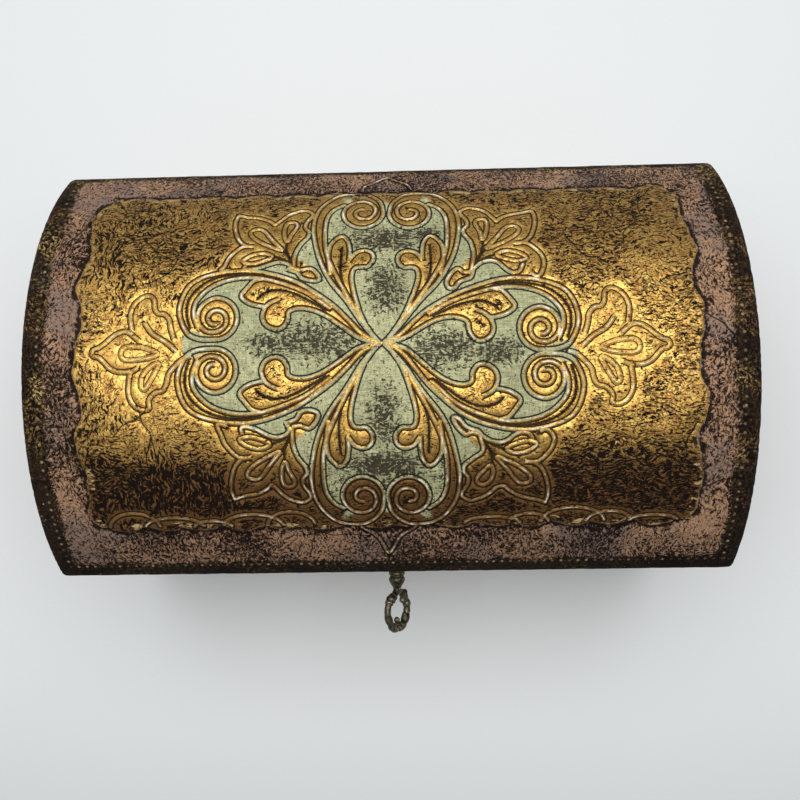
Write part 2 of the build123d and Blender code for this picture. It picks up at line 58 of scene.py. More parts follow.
# ================================================================ the casket's sizes, from the frame
HALF_X, HALF_Y, CREST_Z = corners("lid_top")[1]
LID_BOTTOM = corners("lid_front_rail")[0][2]
FRONT_LOW, FRONT_HIGH = corners("front_panel")
BAND = 14.0  # height of the lid's straight band
ARCH_FOOT = LID_BOTTOM + BAND  # where the arch springs
ARCH_RISE = CREST_Z - ARCH_FOOT
ARCH_RADIUS = (HALF_Y**2 + ARCH_RISE**2) / (2 * ARCH_RISE)
ARCH_CENTRE_Z = CREST_Z - ARCH_RADIUS
BODY_TOP = FRONT_HIGH[2]
BODY_LOW = FRONT_LOW[2]
CORNER = 1.5  # rounding of the boards' outer edges
HINGE_Z = (BODY_TOP + LID_BOTTOM) / 2
KEY_DROP = 13.0  # of the key's axis below the rim
KEY_Z = BODY_TOP - KEY_DROP
KEY_TURN = math.radians(35)  # how far the key stands turned


# ================================================================ curves in flat coordinates
def smooth_line(points, step=0.55, closed=False):
    """Points evenly spaced along a Catmull-Rom curve through the given points."""
    p = np.array(points, float)
    if closed:
        ring = np.vstack([p[-1:], p, p[:2]])
    else:
        ring = np.vstack([2 * p[0] - p[1], p, 2 * p[-1] - p[-2]])
    runs = []
    for a, b, c, d in zip(ring[:-3], ring[1:-2], ring[2:-1], ring[3:]):
        t = np.linspace(0, 1, 24, endpoint=False)[:, None]
        bend = (2 * a - 5 * b + 4 * c - d) * t**2
        twist = (3 * b - a - 3 * c + d) * t**3
        runs.append(0.5 * (2 * b + (c - a) * t + bend + twist))
    line = np.vstack(runs + [p[:1] if closed else p[-1:]])
    along = np.concatenate([[0], np.cumsum(np.linalg.norm(np.diff(line, axis=0), axis=1))])
    count = max(2, int(round(along[-1] / step)) + 1)
    even = np.linspace(0, along[-1], count)
    return np.column_stack([np.interp(even, along, line[:, k]) for k in range(line.shape[1])])


def ease(t):
    """0 below 0, 1 above 1, and smooth between."""
    t = np.clip(t, 0, 1)
    return t * t * (3 - 2 * t)


def inside(points, outline):
    """Which points are inside a closed outline."""
    x, y = points[:, 0], points[:, 1]
    found = np.zeros(len(points), bool)
    for (x0, y0), (x1, y1) in zip(outline, np.roll(outline, -1, axis=0)):
        crosses = (y0 > y) != (y1 > y)
        if crosses.any():
            found ^= crosses & (x < (x1 - x0) * (y - y0) / (y1 - y0 + 1e-12) + x0)
    return found


def volute(centre, start, sense, radii):
    """Points of a spiral: its radius at each quarter turn, from a starting angle in degrees."""
    quarters = np.arange(len(radii))
    points = []
    for t in np.arange(0, len(radii) - 1 + 1e-9, 0.25):
        angle = math.radians(start + sense * 90 * t)
        radius = np.interp(t, quarters, radii)
        points.append((centre[0] + radius * math.cos(angle), centre[1] + radius * math.sin(angle)))
    return points


# ================================================================ the scrollwork
# One quarter of the pattern, in millimetres from where the four ribbons cross: u towards the end
# of the box, v towards its back. The quarters are mirrored, each with its own small unevenness.
SIDE_BACK = [
    (0, 0), (3.8, 1.9), (7.7, 5.7), (12.6, 9.7), (21.4, 14.3), (32.5, 17.8), (42.1, 17.4), (50.1, 13.8),
    (53, 6.1), (50.9, -0.4), (47.5, -2.6),
]
SIDE_CURL = volute((42.7, 3.0), -92, -1, (5.9, 6.0, 6.2, 5.0, 3.7, 3.0, 2.5, 2.1, 1.5))
SIDE_SCROLL = SIDE_BACK + SIDE_CURL
SIDE_RIBBON = [
    (12, 7.9), (19.1, 11.7), (29.8, 14.9), (37.5, 15.1), (44, 12.9), (48.2, 8.6), (48.9, 4.4), (47.6, 0.6),
]
SIDE_MIDDLE = [(30, 16.4), (38, 16.5), (45.5, 14.4), (50.2, 9.6), (50.9, 4.5), (49.8, 0.4)]
SIDE_BUD = [
    (0.6, -0.6), (5, 1.1), (7.7, 2.7), (12.6, 5.5), (16.5, 6.7),
    (20, 6.6), (22.5, 5.3), (22.9, 2.7), (24.3, 0.5),
    (26.4, -0.1), (28.7, 1.1), (29.6, 3.4), (28.9, 6), (27.3, 7.6), (25.4, 8.6),
]
SIDE_TIP = [
    (28.9, 6.2), (30.6, 6.6), (32.9, 7.2), (35.2, 8.7), (35.7, 10), (34.4, 11.9), (32.5, 14.1), (30, 14.9),
]
SIDE_VEIN = [(13, 7.2), (20, 10.2), (25, 11.3), (29, 10.5), (31, 9)]
TOP_BACK = [
    (0, 0), (5, 6.1), (9.6, 11.8), (15.3, 18.3), (19.5, 26.8), (21.2, 37.1), (19.5, 45.1), (14.2, 50.9),
    (6.9, 51.6), (2.2, 47.9),
]
TOP_CURL = volute((6.9, 42.4), 178, 1, (5.9, 6.2, 5.8, 5.4, 3.6, 2.6, 2.2, 1.6))
TOP_SCROLL = TOP_BACK + TOP_CURL
TOP_RIBBON = [
    (12.6, 46.3), (15.3, 44.4), (17.3, 40.8), (17.8, 35), (17.2, 28), (14.9, 21.5), (9.7, 13.2), (4.4, 6.4),
]
TOP_BUD = [
    (2, 2.4), (5, 7.6), (6.9, 11.8), (8.4, 15.7), (9.2, 19.1),
    (8.7, 21.6), (6.9, 22.2), (5, 22.2), (3.5, 24.1),
    (3.8, 26.4), (5.7, 27.7), (8.4, 27.1), (10.2, 24.8),
]
TOP_TIP = [
    (10.4, 24.8), (10.4, 27.9), (10.9, 30.8), (12.4, 32.9),
    (14.2, 32.3), (16.1, 29.4), (16.4, 25), (15.5, 20.2),
]
TOP_VEIN = [(12.6, 29), (12.8, 24.9), (12.6, 20.6), (11.6, 17)]
FAN_CURL = [
    (24.5, 20.3), (23.9, 18.6), (22.6, 18), (20.7, 17.2),
    (19.2, 15.4), (17.6, 15.4), (17.1, 17.2), (18.3, 19.6),
    (20.3, 21.4), (21.8, 20.2), (23.4, 20.2),
]
FAN_INNER = [
    (24.2, 21), (25, 26), (24.3, 30.3), (22.7, 33), (22.4, 35),
    (23.6, 36.7), (23.3, 39), (21.8, 41.5), (22.2, 43),
    (24.6, 44), (28.5, 42.5), (31, 39.6), (32.1, 37.9),
]
FAN_CROWN = [(32.1, 37.9), (33.7, 39.4), (36.4, 40.7), (40.2, 41.3), (42.7, 42.2)]
FAN_CHEEK = [(42.7, 42.2), (43.3, 39.5), (43, 36), (41.6, 32), (39.6, 30), (37.3, 29.5)]
FAN_OUTER = [
    (37.3, 29.5), (40.2, 29.4), (42.5, 27.5), (44.1, 25.2),
    (44.6, 22.6), (43.7, 19.5), (42.4, 18.3), (41.2, 19.1),
]
FAN_LOWER = [
    (24.9, 21.3), (26.8, 23.1), (29.5, 23.8), (31.8, 23.1),
    (33.7, 21), (35.6, 19.7), (37.5, 20.1), (38.6, 22.2),
]
FAN_DROPS = [
    [(27.6, 31), (27.2, 34), (26, 37.1), (26.4, 38.6), (27.6, 39.1), (28.9, 38.6), (29.3, 36.3), (28.7, 33)],
    [(28.7, 27.9), (31.8, 31.7), (34.4, 35.2), (36.4, 36.1),
     (38.3, 35.2), (37.9, 33.3), (35.2, 31), (31.4, 28.9)],
    [(31.4, 25.7), (33.6, 26.9), (36.4, 26.7), (38.9, 25.5), (39.8, 24.2), (37, 23.5), (33.7, 24.4)],
]
FAN_STEMS = [
    [(24.8, 21.6), (26.8, 25.6), (28.7, 27.9)],
    [(25.2, 21.8), (28, 24.6), (31.4, 25.7)],
    [(25.4, 23), (27.4, 27.5), (27.8, 31)],
]

QUARTER_LINES = [
    SIDE_SCROLL, SIDE_RIBBON, SIDE_BUD, SIDE_TIP, TOP_SCROLL, TOP_RIBBON, TOP_BUD, TOP_TIP,
    FAN_CURL, FAN_INNER, FAN_CROWN, FAN_CHEEK, FAN_OUTER, FAN_LOWER,
]
QUARTER_CUTS = [SIDE_MIDDLE, SIDE_VEIN, TOP_VEIN, *FAN_STEMS]
# sign of u and of v, where the ribbons cross, and how far the side lobe, the top lobe and the
# fan between them are pushed outward by the hand that drew them
QUARTERS = [
    (1, 1, (0.0, 3.0), (0.0, 0.0), (0.0, 0.0), (0.0, 0.0)),
    (-1, 1, (-2.5, 3.0), (2.3, 4.6), (-2.6, 0.5), (-1.5, 1.0)),
    (-1, -1, (-2.5, 3.0), (2.5, 3.8), (-1.8, 1.5), (-1.0, 2.0)),
    (1, -1, (0.0, 3.0), (0.8, 7.0), (-1.5, 1.7), (1.2, 4.5)),
]


def place_quarter(points, quarter):
    """Points of the base quarter, moved to one of the four quarters."""
    u, v = np.array(points, float).T
    sign_u, sign_v, (x0, s0), side, top, fan = quarter
    angle = np.degrees(np.arctan2(np.maximum(v, 0), np.maximum(u, 1e-6)))
    away = ease(np.hypot(u, v) / 30)
    by_side = (1 - ease((v - 16) / 8)) * (1 - ease((angle - 38) / 10))
    by_top = ease((angle - 46) / 8)
    by_fan = (1 - by_side) * (1 - by_top)
    push_u = away * (by_side * side[0] + by_top * top[0] + by_fan * fan[0])
    push_v = away * (by_side * side[1] + by_top * top[1] + by_fan * fan[1])
    return np.column_stack([x0 + sign_u * (u + push_u), s0 + sign_v * (v + push_v)])


# the leaf at the right-hand end, from which the left-hand one is mirrored
END_LEAF_LINES = [
    [(54.5, 4.5), (55.5, 7.5), (56, 10), (57.5, 11.7), (59.3, 12),
     (60.3, 13.5), (60.7, 16), (62, 17.3), (63.8, 17),
     (65.6, 15.5), (66.7, 13.5), (67, 10.5), (66.4, 7.4)],
    [(64.2, 4), (65.5, 5.2), (67.5, 6.7), (69.5, 6.7), (71.5, 5.7),
     (74, 3.5), (75.8, 2.3), (77, 2), (77.5, 0.8),
     (76.8, 0), (75.5, -0.3), (74.2, -1.5), (72.5, -3.3),
     (70.5, -4.3), (68.5, -4.5), (66, -4.2), (64.7, -3.6)],
    [(50, -0.5), (52, -1.2), (54.3, -3.3), (56, -5.5), (56.5, -7.8), (57.6, -9.8), (59.5, -10.3), (61, -11.5),
     (61.7, -13), (61.5, -14.6), (63, -15.2), (65, -14.5),
     (66.6, -12.5), (67.2, -10), (67, -7), (66.6, -4.9)],
    [(54, 1.2), (57, 3.8), (60.5, 6), (62.8, 9)],
]
END_LEAF_DROPS = [
    [(59, 0.4), (62.5, -0.9), (66, -1.2), (68.3, -1), (69.3, 0.2),
     (69, 1.8), (67.5, 2.6), (65, 2.5), (62.5, 2.1)],
    [(58.6, -2.4), (61, -3.2), (63, -5.4), (63.7, -8.2), (62.8, -9.5), (61.2, -7.4)],
]
END_LEAF_SHIFT = 4.5  # the left-hand leaf stands this much further out


def end_leaf(points, side):
    """The leaf's points at the right-hand end, or mirrored to the left-hand end."""
    p = np.array(points, float)
    if side < 0:
        p = np.column_stack([-END_LEAF_SHIFT - p[:, 0], p[:, 1] + 0.6])
    return p


# the pointed arches at the back and the front of the scrollwork
POINTED_ARCHES = [
    [(-7.5, 57), (-6.4, 60), (-3.2, 62.4), (0, 65), (3, 62.6), (6, 60.4), (7.4, 57.4)],
    [(-8.6, -51.5), (-4.6, -54.5), (-2.8, -57.6), (-1, -62), (1.2, -57.8), (3, -54.6), (7.2, -51.5)],
]


def swags(low, high, width, x_from, x_to):
    """Overlapping arcs between two x, like a hanging garland turned over."""
    lines = []
    count = int(round((x_to - x_from) / width))
    for k in range(count):
        middle = x_from + (k + 0.5) * (x_to - x_from) / count + 0.1 * width * math.sin(3.1 * k)
        turn = np.linspace(0.04, 0.96, 9) * math.pi
        reach = width * (0.64 + 0.16 * math.sin(2.4 * k))
        rise = (high - low) * (0.85 + 0.35 * math.cos(1.7 * k))
        arc = np.column_stack([middle - reach * np.cos(turn), low + rise * np.sin(turn)])
        lines.append(smooth_line(arc))
    return lines


# ================================================================ relief
CORD = 0.21  # height of a drawn line
FURROW = 0.24  # depth of the grooves beside it
LINE_ROWS = (0.0, 0.25, 0.5, 0.76, 1.08)  # distances from a drawn line that get their own vertices
SKIN = 0.45  # thickness of the gesso on the boards
GRID = 1.35  # spacing of the ground between lines
CLEAR_CELL = 0.9  # no ground point shares a cell of this size with a drawn one
EDGE_STEP = 0.8  # spacing of the points along a skin's edges
RIM_WIDTH = 3.0  # of the dark edge
BEAD = 0.62  # radius of a punched dot
BEAD_HEIGHT = 0.32


def lobed_frame(half_x, low, high, lobe, depth, corner=6.0):
    """The field's outline: a rounded rectangle whose edge swells in lobes, uneven as if cut by hand."""
    middle = (low + high) / 2
    reach = (high - low) / 2 - corner
    wide = half_x - corner
    quarter = corner * math.pi / 2
    lengths = [2 * wide, quarter, 2 * reach, quarter, 2 * wide, quarter, 2 * reach, quarter]
    total = sum(lengths)
    starts = np.concatenate([[0], np.cumsum(lengths)])
    points = []
    for t in np.arange(0, total, 0.5):
        side = int(np.searchsorted(starts, t, side="right")) - 1
        along = t - starts[side]
        heading = math.pi / 2 - (side // 2) * math.pi / 2  # outward normal of this straight side
        if side % 2:
            heading -= along / corner
            centre = [(wide, reach), (wide, -reach), (-wide, -reach), (-wide, reach)][side // 2]
            base = np.array(centre) + corner * np.array([math.cos(heading), math.sin(heading)])
        else:
            base = np.array([
                (-wide + along, reach + corner), (wide + corner, reach - along),
                (wide - along, -reach - corner), (-wide - corner, -reach + along),
            ][side // 2])
        lobes = abs(math.sin(math.pi * t / lobe + 0.35 * math.sin(t / 17)))
        push = depth * (lobes**0.7 - 0.6) + 0.3 * math.sin(t / 3.1) + 0.22 * math.sin(t / 1.7 + 1)
        if side in (2, 6):
            push = 0.75 * depth * math.sin(2 * math.pi * t / 23 + 0.6)
            push += 0.3 * math.sin(t / 2.3) + 0.25 * math.sin(t / 1.3)
        points.append(base + push * np.array([math.cos(heading), math.sin(heading)]) + (0, middle))
    return smooth_line(points, 0.5, closed=True)


def creases(rng, areas, count):
    """Long irregular cracks, each a slowly turning path that starts in one of the areas."""
    lines = []
    for k in range(count):
        x0, x1, s0, s1 = areas[k % len(areas)]
        here = np.array([rng.uniform(x0, x1), rng.uniform(s0, s1)])
        heading = rng.uniform(0, math.pi)
        turn = rng.uniform(-0.14, 0.14)
        path = [here.copy()]
        for _ in range(rng.randint(6, 14)):
            here = here + 2.0 * np.array([math.cos(heading), math.sin(heading)])
            heading += turn + rng.uniform(-0.5, 0.5)
            path.append(here.copy())
        path = np.array(path)
        x, s = path.T
        keep = (x > x0 - 3) & (x < x1 + 3) & (s > s0 - 3) & (s < s1 + 3)
        if keep.sum() > 3:
            lines.append(smooth_line(path[keep], 0.8))
    return lines


def quarter_regions(quarter):
    """The green grounds and the gilt shapes over them in one quarter, as closed outlines."""

    def at(points):
        return smooth_line(place_quarter(points, quarter), 0.8)

    by_fan = FAN_LOWER[::-1][2:] + FAN_CURL[:3] + FAN_CURL[7:9] + FAN_INNER[1:5]
    green = [
        at(SIDE_BACK[:10] + [(48, -5), (12, -5)]),
        at(TOP_BACK + [(-5, 43), (-5, 12)]),
        at(SIDE_BACK[:6] + by_fan + TOP_BACK[:6][::-1]),
    ]
    gilt = [
        at(SIDE_BACK[1:10] + SIDE_RIBBON[::-1]),
        at(SIDE_CURL[:12] + [(48.5, 4), (49, 0)]),
        at(SIDE_BUD + SIDE_TIP[1:] + SIDE_SCROLL[3:5][::-1]),
        at(TOP_BACK[1:8] + TOP_RIBBON),
        at(TOP_BACK[7:] + TOP_CURL[:12]),
        at(TOP_BUD + TOP_TIP + [(9.7, 13.2)]),
        at(FAN_CURL),
    ]
    return green, gilt


def bumps(points, rng, count, wavelength, height):
    """A gentle unevenness: a sum of waves in many directions."""
    total = np.zeros(len(points))
    for _ in range(count):
        heading = rng.uniform(0, 2 * math.pi)
        long = wavelength * rng.uniform(0.7, 1.5)
        phase = rng.uniform(0, 2 * math.pi)
        along = points[:, 0] * math.cos(heading) + points[:, 1] * math.sin(heading)
        total += np.sin(2 * math.pi * along / long + phase)
    return height * total / math.sqrt(count)


def closed(loop):
    """A loop's points with the first one repeated at the end."""
    return np.vstack([loop, loop[:1]])


def rectangle(half_x, low, high):
    """Corners of a flat shape about x = 0, counter-clockwise."""
    return [(-half_x, low), (half_x, low), (half_x, high), (-half_x, high)]


def nearest(points, lines, strengths=None):
    """Each point's distance from the nearest of the lines, and that line's strength."""
    samples, weights = [], []
    for k, line in enumerate(lines):
        fine = smooth_line(line, 0.2) if len(line) > 2 else np.array(line)
        samples.append(fine)
        weights.append(np.full(len(fine), 1.0 if strengths is None else strengths[k]))
    if not samples:
        return np.full(len(points), 99.0), np.zeros(len(points))
    samples, weights = np.vstack(samples), np.concatenate(weights)
    tree = KDTree(len(samples))
    for k, (x, y) in enumerate(samples):
        tree.insert((x, y, 0), k)
    tree.balance()
    found = [tree.find((x, y, 0)) for x, y in points]
    return np.array([f[2] for f in found]), weights[[f[1] for f in found]]


def rows_beside(line, offsets):
    """Points of a line repeated at distances to both sides of it."""
    along = np.gradient(line, axis=0)
    along /= np.linalg.norm(along, axis=1)[:, None] + 1e-9
    across = np.column_stack([-along[:, 1], along[:, 0]])
    rows = [line]
    for offset in offsets:
        if offset > 0:
            rows += [line + across * offset, line - across * offset]
    return np.vstack(rows)


def thin_out(points, spacing):
    """Drops points that share a small cell with an earlier one."""
    cell = np.round(points / spacing).astype(np.int64)
    _, first = np.unique(cell[:, 0] * 1000003 + cell[:, 1], return_index=True)
    return points[np.sort(first)]


class Design:
    """What is drawn on one skin, in its flat coordinates."""

    def __init__(self, outline, seed):
        self.outline = np.array(outline, float)  # of the skin, counter-clockwise
        self.seed = seed
        self.lines = []  # raised cords
        self.strengths = []
        self.cuts = []  # incised without a cord
        self.cracks = []
        self.frame = None
        self.beads = []
        self.green = []
        self.gilt = []
        self.patches = []  # dark rubbed places: x, s, half-width, half-height
        self.hole = None
        self.calm = []  # circles that stay flat: x, s, radius
        self.band = None  # where the dark edge starts, at the lid's front partly painted shade: half-width, lowest and highest s
        self.tarnish_and_shade = []  # how the lid is tarnished and given painted shade: from none at one s to the most at another, and how much
        self.fine = 1.0  # how wide the drawn lines are
        self.middles = []  # of the four-lobed patterns: x, s, scale

    def add(self, lines, strength=1.0):
        self.lines += lines
        self.strengths += [strength] * len(lines)


def meet(line, crossing):
    """Draws the points near the crossing towards it, so that the four quarters join there."""
    away = np.hypot(line[:, 0] - crossing[0], line[:, 1] - crossing[1])
    share = ease((away - 1.0) / 7.0)[:, None]
    return crossing + (line - crossing) * (share + (1 - share) * 0.35)


CROSSING = np.array([-1.2, 2.6])  # of the four ribbons, on the lid
# places rubbed dark in the middle of the lobes: x, s, half-width, half-height
RUBBED = (
    (0, 35, 11, 3.6), (0, 18.5, 5, 7), (-1, -17, 4, 8), (-1, -31, 9, 3), (-20, 4, 12, 5),
    (16, 1, 9, 5), (31, 0, 7, 3.5), (12, 36, 4, 3), (-33, 3, 5, 3),
)


def scrollwork(design, scale=1.0, centre=(0.0, 0.0), end_leaves=True, stretch=1.0):
    """The four-lobed pattern, scaled about the crossing and moved to a place on the skin."""
    step = 0.55 / scale

    def put(line):
        moved = (meet(line, CROSSING) - CROSSING) * scale * np.array([stretch, 1.0])
        return moved + (CROSSING if scale == 1.0 else 0) + np.array(centre)

    def put_point(x, s):
        return put(np.array([[x, s]], float))[0]

    design.middles.append((*put_point(*CROSSING), scale))
    for quarter in QUARTERS:
        design.add([put(smooth_line(place_quarter(p, quarter), step)) for p in QUARTER_LINES])
        design.add([put(smooth_line(place_quarter(p, quarter), step, True)) for p in FAN_DROPS], 0.8)
        design.cuts += [put(smooth_line(place_quarter(p, quarter), 0.6 / scale)) for p in QUARTER_CUTS]
        green, gilt = quarter_regions(quarter)
        design.green += [put(g) for g in green]
        design.gilt += [put(g) for g in gilt]
    if end_leaves:
        for side in (1, -1):
            design.add([put(smooth_line(end_leaf(p, side), step)) for p in END_LEAF_LINES], 0.75)
            design.add([put(smooth_line(end_leaf(p, side), step, True)) for p in END_LEAF_DROPS], 0.6)
    for x, s, half_x, half_s in RUBBED:
        design.patches.append((*put_point(x, s), 1.2 * half_x * scale * stretch, 1.2 * half_s * scale))


def flat_vertices(design):
    """The skin's points in flat coordinates: its outline first, then rows beside every line, then ground."""
    rng = random.Random(design.seed)
    edge = walk(design.outline, EDGE_STEP)
    fine = design.fine
    groups = [rows_beside(line, [fine * row for row in LINE_ROWS]) for line in design.lines]
    groups.append(rows_beside(design.frame, (0.0, 0.3, 0.6, 1.0)))
    groups += [rows_beside(line, (0.0, 0.4)) for line in design.cracks + design.cuts]
    for x, s in design.beads:
        turn = np.linspace(0, 2 * math.pi, 8, endpoint=False)
        ring = np.column_stack([np.cos(turn), np.sin(turn)])
        groups.append(np.vstack([[(x, s)], (x, s) + ring * BEAD * 0.5, (x, s) + ring * BEAD]))
    if design.hole is not None:
        groups.append(walk(design.hole, EDGE_STEP))
    drawn = thin_out(np.vstack(groups), 0.17 * fine)
    low, high = design.outline.min(0), design.outline.max(0)
    columns = int((high[0] - low[0]) / GRID) + 1
    rows = int((high[1] - low[1]) / (GRID * 0.87)) + 1
    column, row = np.meshgrid(np.arange(columns), np.arange(rows))
    x = low[0] + (column + 0.5 * (row % 2)).ravel() * GRID
    ground = np.column_stack([x, low[1] + row.ravel() * GRID * 0.87])
    ground += np.array([[rng.uniform(-0.25, 0.25), rng.uniform(-0.25, 0.25)] for _ in range(len(ground))])
    taken = set(map(tuple, np.round(drawn / CLEAR_CELL).astype(int)))
    ground = ground[[tuple(c) not in taken for c in np.round(ground / CLEAR_CELL).astype(int)]]
    inner = np.vstack([drawn, ground])
    from_edge, _ = nearest(inner, [edge])
    inner = inner[(from_edge > 0.35) & inside(inner, edge)]
    if design.hole is not None:
        inner = inner[~inside(inner, design.hole)]
    return edge, inner


def walk(outline, step):
    """Points along the sides of a closed outline, corners included. Slanting sides bow out by a hair."""
    points = []
    for a, b in zip(outline, np.roll(outline, -1, axis=0)):
        a, b = np.array(a, float), np.array(b, float)
        side = b - a
        length = np.linalg.norm(side)
        count = max(1, int(round(length / step)))
        bow = np.array([side[1], -side[0]]) / length * (0.006 if side.all() else 0.0)
        points += [a + side * k / count + bow * math.sin(math.pi * k / count) for k in range(count)]
    return np.array(points)


def surface_facts(flat, design, edge):
    """What is at each point of a skin: relief and the masks that its finish follows."""
    facts = {}
    line, strength = nearest(flat, design.lines, design.strengths)
    line = line / design.fine
    crack, _ = nearest(flat, design.cracks)
    cut, _ = nearest(flat, design.cuts)
    from_edge, _ = nearest(flat, [closed(edge)])
    facts["cord"] = (0.5 + 0.5 * np.cos(math.pi * np.minimum(line / 0.5, 1))) * strength
    beside = np.exp(-(((line - 0.76) / 0.25) ** 2)) * strength
    cracked = 0.65 * np.exp(-((crack / 0.30) ** 2))
    carved = np.exp(-((cut / 0.42) ** 2)) * (line > 0.5)
    facts["furrow"] = np.maximum(beside, np.maximum(cracked, carved))
    green = np.zeros(len(flat), bool)
    for outline in design.green:
        green |= inside(flat, outline)
    for outline in design.gilt:
        green &= ~inside(flat, outline)
    facts["green"] = green.astype(float)
    from_frame, _ = nearest(flat, [closed(design.frame)])
    signed = np.where(inside(flat, design.frame), from_frame, -from_frame)
    facts["field"] = np.maximum(np.clip(0.5 + signed / 0.6, 0, 1), green)
    facts["margin"] = ease(1 - np.abs(signed - 2.5) / 4.5)
    facts["mottle"] = ease((line - 0.8) / 2.2) * ease((signed + 0.9) / 2.8)
    facts["lip"] = np.exp(-(((signed - 0.9) / 0.9) ** 2))
    # the strip just outside the field's edge: sunk a little in the relief, and where a shadow is painted
    facts["verge"] = np.exp(-((np.clip(signed + 0.55, -9, 9) / np.where(signed > -0.55, 0.5, 1.35)) ** 2))
    x, s = flat.T
    facts["rub"] = np.zeros(len(flat))
    for middle_x, middle_s, half_x, half_s in design.patches:
        away = ((x - middle_x) / half_x) ** 2 + ((s - middle_s) / half_s) ** 2
        facts["rub"] = np.maximum(facts["rub"], np.exp(-(away**1.5)))
    facts["rim"] = ease(1 - (from_edge - 0.4 * RIM_WIDTH) / RIM_WIDTH)
    # the dark edge round design.band, which at the lid's front is painted shade
    if design.band:
        half_x, low, high = design.band
        out = np.maximum(np.abs(x) - half_x, np.maximum(low - s, s - high))
        facts["rim"] = np.maximum(ease(out / 4.5) * (1 - 0.8 * ease((out - 8.5) / 2.5)), facts["rim"])
    # a little tarnishing towards and past the field's edge, then the design's ramps along s, which are
    # painted shade as well as tarnishing
    facts["tarnish_and_shade"] = 0.12 * ease((1 - signed / 14))
    for s_from, s_to, amount in design.tarnish_and_shade:
        facts["tarnish_and_shade"] = np.maximum(facts["tarnish_and_shade"], amount * ease((s - s_from) / (s_to - s_from)))
    facts["chalky"] = np.ones(len(flat))
    for middle_x, middle_s, scale in design.middles:
        away = np.hypot(x - middle_x, s - middle_s) / scale
        facts["chalky"] = np.minimum(facts["chalky"], 1 - 0.8 * np.exp(-((away / 25) ** 2)))
    tree = KDTree(len(design.beads))
    for k, place in enumerate(design.beads):
        tree.insert((*place, 0), k)
    tree.balance()
    away = np.array([tree.find((*place, 0))[2] for place in flat])
    facts["bead"] = np.sqrt(np.clip(1 - (away / BEAD) ** 2, 0, 1))
    rng = random.Random(design.seed + 5)
    depth = 0.4 + 0.6 * design.fine
    height = depth * (CORD * facts["cord"] - FURROW * facts["furrow"])
    height = height - 0.07 * facts["green"] * (1 - facts["cord"])
    height += 0.10 * np.clip(signed / 0.6, -1, 1) * 0.5 - 0.16 * facts["verge"] + BEAD_HEIGHT * facts["bead"]
    height += bumps(flat, rng, 9, 13.0, 0.035) + bumps(flat, rng, 12, 4.2, 0.022)
    height *= ease(from_edge / 2.2)
    for middle_x, middle_s, radius in design.calm:
        height *= ease((np.hypot(x - middle_x, s - middle_s) - radius) / 2)
    facts["height"] = height
    return facts


def triangles(points, loops):
    """Triangles over flat points, kept where they are inside the first loop and outside the others."""
    edges = []
    start = 0
    for loop in loops:
        edges += [(start + k, start + (k + 1) % len(loop)) for k in range(len(loop))]
        start += len(loop)
    corner_points = [Vector((float(x), float(y))) for x, y in points]
    _, _, faces, origin, _, _ = delaunay_2d_cdt(corner_points, edges, [], 0, 1e-5)
    back = [o[0] if o else -1 for o in origin]
    faces = np.array([[back[i] for i in face] for face in faces])
    faces = faces[(faces >= 0).all(1)]
    middle = points[faces].mean(1)
    keep = inside(middle, loops[0])
    for loop in loops[1:]:
        keep &= ~inside(middle, loop)
    return faces[keep]


def under_points(outline, loops, spacing, clear):
    """The flat points of a sheet's underside: its rims, and a coarse grid clear of them."""
    low, high = outline.min(0), outline.max(0)
    along = np.arange(low[0] + 4, high[0], spacing)
    column, row = np.meshgrid(along, np.arange(low[1] + 4, high[1], spacing))
    coarse = np.column_stack([column.ravel(), row.ravel()])
    away, _ = nearest(coarse, [closed(loop) for loop in loops])
    return np.vstack([*loops, coarse[(away > clear) & inside(coarse, loops[0])]])


def sheet_faces(flat, under_flat, loops):
    """Triangles of a closed sheet: its top, its underside and the walls round its rims."""
    count = len(flat)
    over = triangles(flat, loops)
    under = triangles(under_flat, loops)[:, ::-1] + count
    walls = []
    start = 0
    for loop in loops:
        for k in range(len(loop)):
            a, b = start + k, start + (k + 1) % len(loop)
            walls += [(b, a, count + a), (b, count + a, count + b)]
        start += len(loop)
    return np.vstack([over, under, walls])


def mesh_piece(name, points, faces, material):
    """An object of smooth faces, its normals outward."""
    mesh = bpy.data.meshes.new(name)
    mesh.from_pydata((np.asarray(points) * MM).tolist(), [], [list(map(int, f)) for f in faces])
    mesh.validate()
    mesh.polygons.foreach_set("use_smooth", np.ones(len(mesh.polygons), bool))
    mesh.materials.append(material)
    piece = bpy.data.objects.new(name, mesh)
    bpy.context.scene.collection.objects.link(piece)
    b = bmesh.new()
    b.from_mesh(mesh)
    bmesh.ops.recalc_face_normals(b, faces=b.faces)
    b.to_mesh(mesh)
    b.free()
    return piece


def finish_piece(piece, body, nodes=()):
    """Puts a piece on its body, in place of the nodes that it replaces."""
    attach(piece, body)
    if nodes:
        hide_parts(*nodes)


FACT_NAMES = (
    "cord", "furrow", "green", "field", "margin", "mottle", "verge",
    "rub", "rim", "bead", "tarnish_and_shade", "lip", "chalky",
)
UNDER_SKIN = 0.04  # left between a skin and its boards


